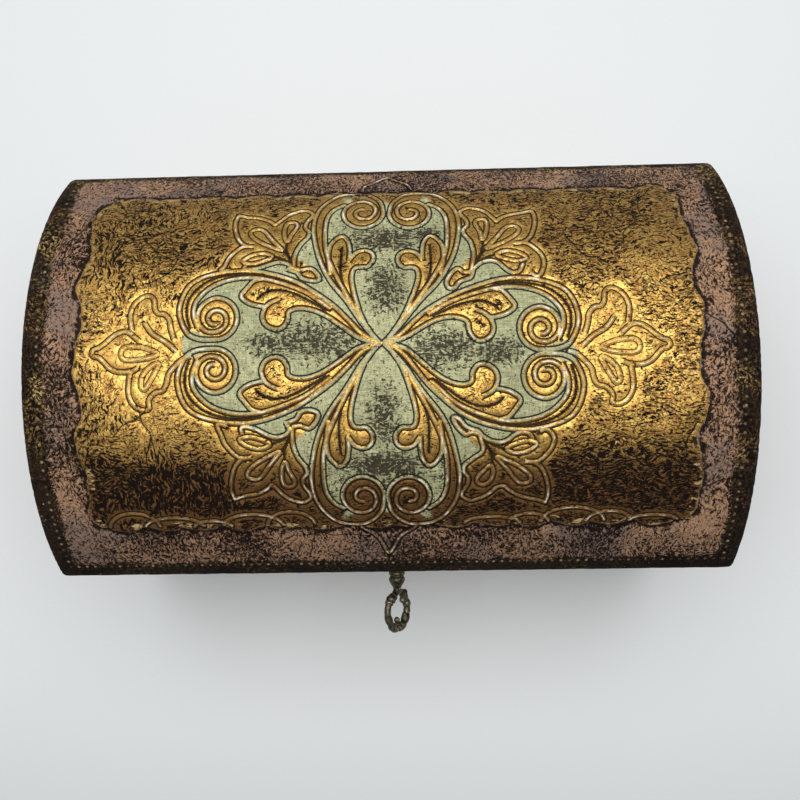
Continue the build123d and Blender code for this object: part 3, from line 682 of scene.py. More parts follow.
def build_skin(name, design, place, body, material):
    """A closed sheet of gesso with the design's relief, laid on the boards by place(flat, lift)."""
    edge, inner = flat_vertices(design)
    loops = [edge] + ([walk(design.hole, EDGE_STEP)] if design.hole is not None else [])
    rim_count = sum(map(len, loops))
    flat = np.vstack([*loops, inner])
    facts = surface_facts(flat, design, edge)
    under_flat = under_points(design.outline, loops, 5.0, 2.0)
    top = place(flat, SKIN + facts["height"])
    bottom = place(under_flat, np.full(len(under_flat), UNDER_SKIN))
    piece = mesh_piece(name, np.vstack([top, bottom]), sheet_faces(flat, under_flat, loops), material)
    carried = np.vstack([flat, under_flat])
    shift = 37.0 * (design.seed % 11)  # so that no two skins wear alike
    vectors = np.column_stack([carried[:, 0] + shift, carried[:, 1] - shift, np.zeros(len(carried))])
    layer = piece.data.attributes.new("flat", "FLOAT_VECTOR", "POINT")
    layer.data.foreach_set("vector", vectors.astype(np.float32).ravel())
    plain = np.zeros(len(under_flat) - rim_count)
    for fact in FACT_NAMES:
        layer = piece.data.attributes.new(fact, "FLOAT", "POINT")
        values = np.concatenate([facts[fact], facts[fact][:rim_count], plain])
        layer.data.foreach_set("value", values.astype(np.float32))
    finish_piece(piece, body)


# ================================================================ where each skin lies
SHOULDER = 3.0  # radius of the rounding between the arch and the straight band
ARCH_TURN = math.asin((HALF_Y + SKIN - SHOULDER) / (ARCH_RADIUS + SKIN - SHOULDER))  # where it starts
SHOULDER_START = ARCH_TURN * ARCH_RADIUS
SHOULDER_END = SHOULDER_START + SHOULDER * (math.pi / 2 - ARCH_TURN)
SHOULDER_Y = (ARCH_RADIUS + SKIN - SHOULDER) * math.sin(ARCH_TURN)
SHOULDER_Z = ARCH_CENTRE_Z + (ARCH_RADIUS + SKIN - SHOULDER) * math.cos(ARCH_TURN)
EDGE_TURN = (CORNER + SKIN) * math.pi / 2  # length of the rounding at each end of the lid


def lid_profile(s):
    """The lid's section at a distance round it from the crown: y, z and the angle of its normal."""
    side, s = np.sign(s), np.abs(s)
    on_arch = s < SHOULDER_START
    on_shoulder = np.minimum(ARCH_TURN + (s - SHOULDER_START) / SHOULDER, math.pi / 2)
    angle = np.where(on_arch, s / ARCH_RADIUS, on_shoulder)
    radius = np.where(on_arch, ARCH_RADIUS + SKIN, SHOULDER)
    y = np.where(on_arch, 0, SHOULDER_Y) + radius * np.sin(angle)
    z = np.where(on_arch, ARCH_CENTRE_Z, SHOULDER_Z) + radius * np.cos(angle)
    z = z - np.maximum(s - SHOULDER_END, 0)
    return side * y, z, side * angle


def round_ends(x, lift):
    """x and the change of lift where a skin turns round the end of its board."""
    past = np.maximum(np.abs(x) - (HALF_X - CORNER), 0) / (CORNER + SKIN)
    turned = np.sign(x) * (HALF_X - CORNER + (CORNER + lift) * np.sin(past))
    lowered = (CORNER + lift) * np.cos(past) - CORNER
    return np.where(past > 0, turned, x), np.where(past > 0, lowered, lift)


def place_on_lid(flat, lift):
    x, lift = round_ends(flat[:, 0], lift)
    y, z, angle = lid_profile(flat[:, 1])
    rise = lift - SKIN
    return np.column_stack([x, y + rise * np.sin(angle), z + rise * np.cos(angle)])


BEVEL = 3.35  # the back skins stop this far from the hinges' axis, clear of the bevelled edges
LID_FRONT_S = -(SHOULDER_END + SHOULDER_Z - LID_BOTTOM - 0.05)
LID_BACK_S = SHOULDER_END + SHOULDER_Z - (HINGE_Z + BEVEL)
SKIN_HALF_X = HALF_X - CORNER + EDGE_TURN


BEAD_X = 97.6  # of the dotted rows near the long skins' ends
BEAD_STEP = 2.5


def lid_skin(material):
    design = Design(rectangle(SKIN_HALF_X, LID_FRONT_S, LID_BACK_S), 3)
    scrollwork(design)
    design.add([smooth_line(points) for points in POINTED_ARCHES])
    design.add([a for a in swags(-50.6, -46.3, 11.5, -80, 80) if abs(a[:, 0].mean()) > 22], 0.8)
    design.frame = lobed_frame(86.2, -51.0, 55.0, 11.8, 1.5)
    areas = [
        (-84, -48, 18, 54), (48, 84, 18, 54), (-84, -48, -50, -16), (48, 84, -50, -16),
        (-84, 84, 57, 64), (-96, -88, -60, 60), (88, 96, -60, 60), (-84, 84, -64, -53),
    ]
    design.cracks = creases(random.Random(11), areas, 34)
    design.beads = walk(rectangle(BEAD_X, -66.2, 66.2), BEAD_STEP)
    # the dark edge starts further in at the front: painted shade where the lid rounds over and turns down
    design.band = (93.0, -62.4, 65.5)
    # painted shade with some tarnishing: the gold darkens from s = -21 to -38 towards the lid's front, and a
    # little from 12 to 38 towards its back
    design.tarnish_and_shade = [(-21, -38, 1.0), (12, 38, 0.24)]
    build_skin("lid_gilding", design, place_on_lid, "lid", material)


# ---------------------------------------------------------------- the other gilded skins
FLOOR_EDGE = BODY_LOW + 0.1
BODY_EDGE = BODY_TOP - 0.05
BEVEL_TOP = HINGE_Z - BEVEL
END_HALF_Y = HALF_Y - CORNER


def place_on_front(flat, lift):
    x, lift = round_ends(flat[:, 0], lift)
    return np.column_stack([x, -(HALF_Y + lift), flat[:, 1]])


def place_on_back(flat, lift):
    x, lift = round_ends(flat[:, 0], lift)
    return np.column_stack([-x, HALF_Y + lift, flat[:, 1]])


def place_on_end(side):
    def place(flat, lift):
        return np.column_stack([side * (HALF_X + lift), side * flat[:, 0], flat[:, 1]])

    return place


def front_skin(material):
    design = Design(rectangle(SKIN_HALF_X, FLOOR_EDGE, BODY_EDGE), 4)
    design.fine = 0.62
    for side in (-1, 1):
        scrollwork(design, 0.47, (side * 50, 34.5), end_leaves=False)
    for points in END_LEAF_LINES[:3]:
        leaf = smooth_line((np.array(points) - (54, 0)) * 0.72, 0.5)
        design.add([np.column_stack([leaf[:, 1], 39.5 - leaf[:, 0]])], 0.8)
    design.frame = lobed_frame(88.5, 8.2, 61.2, 11.8, 1.3)
    design.beads = walk(rectangle(BEAD_X, 4.4, 64.6), BEAD_STEP)
    design.band = (94.0, 5.6, 63.2)
    areas = [(-86, -70, 10, 60), (70, 86, 10, 60), (-30, 30, 10, 30)]
    design.cracks = creases(random.Random(21), areas, 14)
    turn = np.linspace(0, 2 * math.pi, 24, endpoint=False)
    design.hole = np.column_stack([4.6 * np.cos(turn), KEY_Z - 1.4 + 7.0 * np.sin(turn)])
    design.calm = [(0, 56, 7.5), (0, 48, 6.5)]
    build_skin("front_gilding", design, place_on_front, "body", material)


def back_skin(material):
    design = Design(rectangle(SKIN_HALF_X, FLOOR_EDGE, BEVEL_TOP), 5)
    design.fine = 0.62
    scrollwork(design, 0.49, (0, 33), end_leaves=True)
    design.frame = lobed_frame(88.5, 8.2, 57.8, 11.8, 1.3)
    design.beads = walk(rectangle(BEAD_X, 4.4, 61.4), BEAD_STEP)
    design.band = (94.0, 5.6, 60.2)
    design.cracks = creases(random.Random(22), [(-84, -50, 12, 54), (50, 84, 12, 54)], 14)
    build_skin("back_gilding", design, place_on_back, "body", material)


def end_skin(side, material):
    by_hinge = (END_HALF_Y, BODY_EDGE - 1.5), (END_HALF_Y - 1.2, BODY_EDGE)
    outline = [(-END_HALF_Y, FLOOR_EDGE), (END_HALF_Y, FLOOR_EDGE), *by_hinge, (-END_HALF_Y, BODY_EDGE)]
    if side < 0:
        outline = [(-y, z) for y, z in outline][::-1]
    design = Design(outline, 6 + side)
    design.fine = 0.62
    scrollwork(design, 0.49, (0, 34.5), end_leaves=True)
    design.frame = lobed_frame(50.5, 8.2, 61.2, 11.8, 1.3)
    design.beads = walk(rectangle(57.2, 4.4, 64.6), BEAD_STEP)
    design.band = (55.5, 5.6, 63.2)
    design.cracks = creases(random.Random(24 + side), [(-48, -28, 12, 58), (28, 48, 12, 58)], 8)
    name = "right_gilding" if side > 0 else "left_gilding"
    build_skin(name, design, place_on_end(side), "body", material)


def arch_inset(depth, low):
    """The lid end's outline, inset from its edge, as (y, z) points from the front foot over the crown."""
    reach = SHOULDER_END + SHOULDER_Z - low
    s = np.linspace(-reach, reach, int(2 * reach / 0.8))
    y, z, angle = lid_profile(s)
    return np.column_stack([y - (depth + SKIN) * np.sin(angle), z - (depth + SKIN) * np.cos(angle)])


def arched_band(depth, low, step):
    """A line inside the lid's end, a depth in from the arch and the upright edges."""
    half = HALF_Y - depth
    y = np.linspace(half, -half, int(2 * half / step) + 1)
    z = ARCH_CENTRE_Z + np.sqrt((ARCH_RADIUS - depth) ** 2 - y**2)
    upright = np.arange(z[0] - step, low + 0.4 * step, -step)
    over = np.column_stack([y, z])
    left = np.column_stack([np.full(len(upright), -half), upright])
    across = np.linspace(-half, half, int(2 * half / step) + 1)
    below = np.column_stack([across, np.full(len(across), low)])
    return np.vstack([over, left, below, left[::-1] * (-1, 1)])


def lid_end_skin(side, material):
    arch = arch_inset(CORNER, LID_BOTTOM + 0.05)
    points = arch[(arch[:, 0] < END_HALF_Y - 1e-6) | (arch[:, 1] > LID_BOTTOM + 1.7)]
    outline = np.vstack([points, [(END_HALF_Y, LID_BOTTOM + 1.6), (END_HALF_Y - 1.2, LID_BOTTOM + 0.05)]])
    outline = outline * (side, 1)
    if side > 0:
        outline = outline[::-1]
    design = Design(outline, 8 + side)
    design.fine = 0.5
    scrollwork(design, 0.27, (0, 89.2), end_leaves=True, stretch=1.3)
    inner = arched_band(9.5, LID_BOTTOM + 6.8, 1.4)
    middle = np.array([0.0, 88.0])
    wave = 0.03 * np.sin(np.arange(len(inner)) * math.pi * 2 / 7.3)[:, None]
    design.frame = smooth_line(middle + (inner - middle) * (1 + wave), 0.5, closed=True)[::-1]
    design.beads = arched_band(4.6, LID_BOTTOM + 3.4, BEAD_STEP)
    design.cracks = creases(random.Random(34 + side), [(-44, -20, 76, 90), (20, 44, 76, 90)], 6)
    name = "lid_right_gilding" if side > 0 else "lid_left_gilding"
    build_skin(name, design, place_on_end(side), "lid", material)


# ================================================================ velvet linings
PILE = 0.03  # clearance under a lining


def padded_sheet(name, outline, place, thickness, body, node, material, seed, pad=(1.1, 0.25, 0.8)):
    """A velvet-covered board or pad: crowned, its edges rolled over. place(flat, lift) lays it.

    pad is the width of the rolled edge, the height of the crown, and how full the shape is, which is not
    used."""
    round_over, puff, fill = pad
    outline = np.array(outline, float)
    edge = walk(outline, 2.2)
    loops = [edge]
    middle = edge.mean(0)
    reach = np.abs(edge - middle).max(0)
    rows = []
    for inset in (0.12, 0.35, 0.75, 1.3, 2.4):
        share = inset * round_over / 1.3
        rows.append(middle + (edge - middle) * (1 - share / reach))
    low, high = outline.min(0), outline.max(0)
    across, upward = (np.arange(low[k] + 3, high[k] - 1, 3.0) for k in (0, 1))
    column, row = np.meshgrid(across, upward)
    grid = np.column_stack([column.ravel(), row.ravel()])
    away, _ = nearest(grid, [closed(edge)])
    inner = np.vstack(rows + [grid[away > 2.9 * round_over / 1.3]])
    inner = inner[inside(inner, edge)]
    away, _ = nearest(inner, [closed(edge)])
    flat = np.vstack([edge, thin_out(inner[away > 0.05], 0.05)])
    away, _ = nearest(flat, [closed(edge)])
    away[: len(edge)] = 0
    roll = np.sqrt(np.clip(1 - (1 - np.minimum(away / round_over, 1)) ** 2, 0, 1))
    rng = random.Random(seed)
    crown = ease(away / min(high - low) * 2.4)
    lift = PILE + (thickness - puff) * roll + (puff - 0.12) * crown
    uneven = bumps(flat, rng, 10, 24.0, 0.03) + bumps(flat, rng, 10, 7.0, 0.02)
    lift += ease(away / (2 * round_over)) * uneven
    lift[: len(edge)] = PILE + 0.18 * thickness
    under_flat = under_points(outline, loops, 6.0, 1.8)
    points = np.vstack([place(flat, lift), place(under_flat, np.full(len(under_flat), PILE))])
    piece = mesh_piece(name, points, sheet_faces(flat, under_flat, loops), material)
    finish_piece(piece, body, [node])


def box_outline(a_low, a_high, b_low, b_high):
    return [(a_low, b_low), (a_high, b_low), (a_high, b_high), (a_low, b_high)]


def wall_lining(node, axis, side, outline, body, material, seed):
    """A lining board on a wall; axis is 0 for an end wall and 1 for a long one, side is -1 or 1."""
    low, high = corners(node)
    wall = high[axis] if side > 0 else low[axis]

    def on_wall(flat, lift):
        off = wall - side * lift
        return np.column_stack([off, flat] if axis == 0 else [flat[:, 0], off, flat[:, 1]])

    padded_sheet(node + "_velvet", outline, on_wall, high[axis] - low[axis], body, node, material, seed)


def around_lock(outline, top):
    """A lining's outline with a notch in its upper edge for the lock's plate."""
    plate_low, plate_high = corners("lock_plate")
    gap, sill = plate_high[0] + 0.5, plate_low[2] - 0.5
    notch = [(gap, top), (gap, sill), (-gap, sill), (-gap, top)]
    return outline[:3] + notch + outline[3:]


def body_linings(material):
    low, high = corners("lining_floor")

    def on_floor(flat, lift):
        return np.column_stack([flat, low[2] + lift])

    floor = box_outline(low[0] + 0.15, high[0] - 0.15, low[1] + 0.15, high[1] - 0.15)
    thick = high[2] - low[2]
    padded_sheet("floor_pad", floor, on_floor, thick, "body", "lining_floor", material, 41, (2.6, 1.0, 0.6))
    for node, side in (("lining_front", -1), ("lining_back", 1)):
        low_wall, high_wall = corners(node)
        outline = box_outline(low_wall[0] + 0.1, high_wall[0] - 0.1, low_wall[2] + 0.1, high_wall[2])
        if side < 0:
            outline = around_lock(outline, high_wall[2])
        wall_lining(node, 1, side, outline, "body", material, 43 + side)
    for node, side in (("lining_left", -1), ("lining_right", 1)):
        low_wall, high_wall = corners(node)
        outline = box_outline(low_wall[1] + 0.1, high_wall[1] - 0.1, low_wall[2] + 0.1, high_wall[2])
        wall_lining(node, 0, side, outline, "body", material, 47 + side)


def lid_linings(material):
    low, high = corners("lid_lining_top")
    radius = ARCH_RADIUS - (CREST_Z - high[2])
    reach = math.asin(high[1] / radius) * radius - 0.1

    def under_arch(flat, lift):
        angle = flat[:, 1] / radius
        z = ARCH_CENTRE_Z + (radius - lift) * np.cos(angle)
        return np.column_stack([flat[:, 0], (radius - lift) * np.sin(angle), z])

    outline = box_outline(low[0] + 0.1, high[0] - 0.1, -reach, reach)
    padded_sheet("lid_lining_top_velvet", outline, under_arch, 1.5, "lid", "lid_lining_top", material, 51)
    for node, side in (("lid_lining_front", -1), ("lid_lining_back", 1)):
        low, high = corners(node)
        outline = box_outline(low[0] + 0.1, high[0] - 0.1, low[2], high[2] - 1.2)
        wall_lining(node, 1, side, outline, "lid", material, 53 + side)
    for node, side in (("lid_lining_left", -1), ("lid_lining_right", 1)):
        low, high = corners(node)
        top_radius = high[2] - ARCH_CENTRE_Z - 0.1
        half = high[1] - 0.1
        turn = np.linspace(math.asin(half / top_radius), -math.asin(half / top_radius), 25)
        arch = [(top_radius * math.sin(a), ARCH_CENTRE_Z + top_radius * math.cos(a)) for a in turn]
        outline = [(-half, low[2]), (half, low[2])] + arch
        wall_lining(node, 0, side, outline, "lid", material, 57 + side)


# ================================================================ the key
def tube(path, radii, around=14):
    """Points and faces of a closed round tube along a path."""
    path = np.array(path, float)
    along = np.gradient(path, axis=0)
    along /= np.linalg.norm(along, axis=1)[:, None]
    side = np.cross(along[0], (0.3, 0.9, 0.2))
    points = []
    turn = np.linspace(0, 2 * math.pi, around, endpoint=False)
    for place, way, radius in zip(path, along, radii):
        side = side - way * np.dot(side, way)
        side /= np.linalg.norm(side)
        other = np.cross(way, side)
        points += [place + radius * (math.cos(a) * side + math.sin(a) * other) for a in turn]
    faces = []
    for k in range(len(path) - 1):
        for j in range(around):
            a, b = k * around + j, k * around + (j + 1) % around
            faces.append((a, b, b + around, a + around))
    faces.append(tuple(range(around))[::-1])
    faces.append(tuple(range((len(path) - 1) * around, len(path) * around)))
    return np.array(points), faces


def lathe(profile, around=40):
    """Points and faces of a solid turned about the Y axis, from a closed run of (y, radius) points."""
    profile = np.array(profile, float)
    points = []
    for k in range(around):
        a = 2 * math.pi * k / around
        points += [(r * math.cos(a), y, r * math.sin(a)) for y, r in profile]
    n = len(profile)
    faces = []
    for k in range(around):
        for j in range(n):
            a, b = k * n + j, k * n + (j + 1) % n
            c, d = ((k + 1) % around) * n + (j + 1) % n, ((k + 1) % around) * n + j
            faces.append((a, b, c, d))
    return np.array(points), faces


def joined(parts):
    points, faces, start = [], [], 0
    for p, f in parts:
        points.append(p)
        faces += [tuple(i + start for i in face) for face in f]
        start += len(p)
    return np.vstack(points), faces


def beaded(length, base, beads):
    """Radii along a rod with swellings: (place as a share of its length, height, half-width share)."""
    t = np.linspace(0, 1, length)
    radii = np.full(length, base)
    for place, height, width in beads:
        radii = radii + height * np.exp(-(((t - place) / width) ** 4))
    return radii


BARREL = 2.0  # radius of the key's barrel
BORE = 1.15  # radius of the hole in it
COLLARS = (
    (-63.8, 2.0), (-63.8, 2.6), (-65.2, 2.6), (-65.5, 2.25), (-65.9, 2.25), (-66.2, 2.72), (-67.0, 2.72),
    (-67.3, 2.3), (-67.7, 2.3), (-68.1, 2.66), (-68.8, 2.72),
    (-69.5, 2.5), (-70.5, 1.95), (-71.3, 1.4), (-72.2, 1.22),
)
# the bow, in its own plane: y along the key, and the distance above its axis
BOW_HIGH_ARM = [
    (-72.0, 0.2), (-73.6, 1.6), (-75.4, 4.6), (-77.4, 6.0),
    (-79.8, 6.2), (-82.0, 5.2), (-83.9, 3.4), (-85.2, 0.6),
]
BOW_LOW_ARM = [
    (-72.0, -0.2), (-73.0, -1.9), (-74.6, -4.4), (-77.0, -6.0),
    (-79.6, -6.2), (-81.9, -5.2), (-83.8, -3.6), (-85.2, -0.6),
]
# the arms' swellings: place along the arm, height, half-width
HIGH_SWELLINGS = (
    (0.17, 0.42, 0.025), (0.26, 0.55, 0.05), (0.35, 0.42, 0.022), (0.66, 0.22, 0.07), (0.84, 0.38, 0.05),
)
LOW_SWELLINGS = (
    (0.25, 0.30, 0.06), (0.43, 0.32, 0.05), (0.56, 0.14, 0.03), (0.70, 0.36, 0.07), (0.86, 0.32, 0.05),
)


def key_piece(material):
    """The key: a hollow barrel with its bit, turned collars, and a pointed bow of beaded scrolls."""
    tip = corners("key")[1][1]
    barrel = [(tip, BARREL - 0.25), (tip - 0.25, BARREL), *COLLARS, (-73.4, 1.25), (-73.4, 0.02)]
    barrel += [(-61.0, 0.02), (-61.0, BORE), (tip, BORE)]
    parts = [lathe(barrel, 48)]
    bit = [(1.0, tip, -1.6), (-1.0, tip, -1.6), (-1.0, tip, -5.4), (1.0, tip, -5.4)]
    bit += [(x, tip - 3.2, z) for x, _, z in bit]
    sides = [(0, 1, 2, 3), (7, 6, 5, 4), (0, 4, 5, 1), (1, 5, 6, 2), (2, 6, 7, 3), (3, 7, 4, 0)]
    parts.append((np.array(bit), sides))
    narrow = (1.0, 0.86)
    for arm, swellings in ((BOW_HIGH_ARM, HIGH_SWELLINGS), (BOW_LOW_ARM, LOW_SWELLINGS)):
        line = smooth_line(arm, 0.25) * narrow
        path = np.column_stack([np.zeros(len(line)), line])
        parts.append(tube(path, beaded(len(path), 1.12, swellings), 16))
    knobs = (
        ((-74.4, -4.4), (-72.3, -5.0), 1.15), ((-75.4, -4.6),
        (-76.4, -2.3), 1.15), ((-75.4, 4.2), (-74.0, 4.6), 0.9),
        ((-84.3, 2.2), (-86.0, 2.6), 1.0), ((-84.3, -2.2),
        (-86.0, -2.6), 1.0), ((-85.4, 0.0), (-82.4, 0.4), 0.75),
        ((-83.2, 0.4), (-81.0, 0.4), 1.05), ((-81.4, -5.4), (-80.0, -4.2), 0.95),
    )
    for (y0, w0), (y1, w1), radius in knobs:
        t = np.linspace(0, 1, 9)[:, None]
        path = np.array([0, y0, w0 * narrow[1]]) * (1 - t) + np.array([0, y1, w1 * narrow[1]]) * t
        reach = np.sqrt(np.clip(1 - (2 * t[:, 0] - 1) ** 2, 0.04, 1))
        parts.append(tube(path, radius * reach, 14))
    points, faces = joined(parts)
    x, z = points[:, 0].copy(), points[:, 2].copy()
    points[:, 0] = x * math.cos(-KEY_TURN) + z * math.sin(-KEY_TURN)
    points[:, 2] = -x * math.sin(-KEY_TURN) + z * math.cos(-KEY_TURN) + KEY_Z
    piece = mesh_piece("key_bronze", points, faces, material)
    weld(piece, 0.17, 2)
    finish_piece(piece, "key", ["key"])


def weld(piece, voxel, smooth):
    """Joins overlapping closed shapes into one skin and softens where they meet."""
    remesh = piece.modifiers.new("weld", "REMESH")
    remesh.mode = "VOXEL"
    remesh.voxel_size = voxel * MM
    remesh.use_smooth_shade = True
    soften = piece.modifiers.new("soften", "SMOOTH")
    soften.factor = 0.5
    soften.iterations = smooth
    graph = bpy.context.evaluated_depsgraph_get()
    mesh = bpy.data.meshes.new_from_object(piece.evaluated_get(graph), depsgraph=graph)
    piece.modifiers.clear()
    piece.data = mesh
    mesh.polygons.foreach_set("use_smooth", np.ones(len(mesh.polygons), bool))


# ================================================================ finishes
class Finish:
    """A node material, written as expressions."""

    def __init__(self, name):
        self.material = bpy.data.materials.new(name)
        self.material.use_nodes = True
        self.tree = self.material.node_tree
        self.tree.nodes.clear()
        self.output = self.tree.nodes.new("ShaderNodeOutputMaterial")

    def node(self, kind, inputs=None, **settings):
        made = self.tree.nodes.new("ShaderNode" + kind)
        for key, value in settings.items():
            setattr(made, key, value)
        for key, value in (inputs or {}).items():
            self.feed(made.inputs[key], value)
        return made

    def feed(self, socket, value):
        if isinstance(value, bpy.types.NodeSocket):
            self.tree.links.new(value, socket)
        elif isinstance(value, (tuple, list)) and len(value) == 3 and socket.type == "RGBA":
            socket.default_value = (*value, 1.0)
        else:
            socket.default_value = value

    def calc(self, operation, *values, clamp=False):
        made = self.node("Math", operation=operation, use_clamp=clamp)
        for socket, value in zip(made.inputs, values):
            self.feed(socket, value)
        return made.outputs[0]

    def step(self, value, low, high, to_low=0.0, to_high=1.0):
        """A smooth step of a value between two levels."""
        inputs = {"Value": value, "From Min": low, "From Max": high, "To Min": to_low, "To Max": to_high}
        return self.node("MapRange", inputs, interpolation_type="SMOOTHSTEP", clamp=True).outputs["Result"]

    def mul(self, a, b):
        return self.calc("MULTIPLY", a, b)

    def add(self, a, b):
        return self.calc("ADD", a, b)

    def less(self, a, b, clamp=False):
        return self.calc("SUBTRACT", a, b, clamp=clamp)

    def most(self, a, b):
        return self.calc("MAXIMUM", a, b)

    def mix(self, share, a, b):
        made = self.node("Mix", data_type="RGBA")
        self.feed(made.inputs[0], share)
        self.feed(made.inputs[6], a)
        self.feed(made.inputs[7], b)
        return made.outputs[2]

    def lerp(self, share, a, b):
        made = self.node("Mix", data_type="FLOAT")
        self.feed(made.inputs[0], share)
        self.feed(made.inputs[2], a)
        self.feed(made.inputs[3], b)
        return made.outputs[0]

    def noise(self, vector, scale, detail=4.0, roughness=0.55, distortion=0.0):
        inputs = {"Vector": vector, "Scale": scale, "Detail": detail, "Roughness": roughness}
        return self.node("TexNoise", {**inputs, "Distortion": distortion}).outputs["Fac"]

    def cells(self, vector, scale, feature="F1"):
        made = self.node("TexVoronoi", {"Vector": vector, "Scale": scale}, feature=feature)
        return made.outputs["Distance"]

    def stretch(self, vector, scale, turn=(0, 0, 0)):
        return self.node("Mapping", {"Vector": vector, "Scale": scale, "Rotation": turn}).outputs[0]

    def shifted(self, vector, at, scale, detail, distance):
        """A vector moved about by a noise that is read at another, so that what is laid on it bends."""
        noise = self.node("TexNoise", {"Vector": at, "Scale": scale, "Detail": detail}).outputs["Color"]
        shove = self.node("VectorMath", {0: noise, 3: distance}, operation="SCALE").outputs[0]
        return self.node("VectorMath", {0: vector, 1: shove}, operation="ADD").outputs[0]

    def along(self, vector, direction):
        """How far a vector reaches in a direction."""
        return self.node("VectorMath", {0: vector, 1: direction}, operation="DOT_PRODUCT").outputs["Value"]

    def fact(self, name):
        return self.node("Attribute", attribute_name=name).outputs["Fac"]

    def vector_fact(self, name):
        return self.node("Attribute", attribute_name=name).outputs["Vector"]

    def place(self):
        """The object's own coordinates, in millimetres."""
        return self.stretch(self.node("TexCoord").outputs["Object"], (1 / MM, 1 / MM, 1 / MM))

    def bump(self, height, distance, strength):
        return self.node("Bump", {"Height": height, "Distance": distance, "Strength": strength}).outputs[0]

    def surface(self, **values):
        shader = self.node("BsdfPrincipled")
        for key, value in values.items():
            self.feed(shader.inputs[key.replace("_", " ")], value)
        self.tree.links.new(shader.outputs[0], self.output.inputs["Surface"])
        return self.material


GOLD = (0.78, 0.53, 0.14)
GOLD_DEEP = (0.50, 0.275, 0.068)
OLIVE = (0.40, 0.25, 0.070)
BRONZE = (0.150, 0.080, 0.026)
BOLE = (0.17, 0.070, 0.030)  # the red-brown clay under the leaf
# near-black: glaze in the leaf's wrinkles, and painted shade in the furrows, in the lip's nicks and along the
# field's edge
GLAZE_AND_SHADE = (0.0070, 0.0036, 0.0022)
GESSO = (0.62, 0.53, 0.37)
GESSO_DULL = (0.26, 0.175, 0.085)
SAGE = (0.515, 0.505, 0.29)
SAGE_DEEP = (0.28, 0.285, 0.155)
ROSE = (0.455, 0.272, 0.165)
ROSE_DEEP = (0.235, 0.135, 0.080)
RIM = (0.0048, 0.0026, 0.0017)


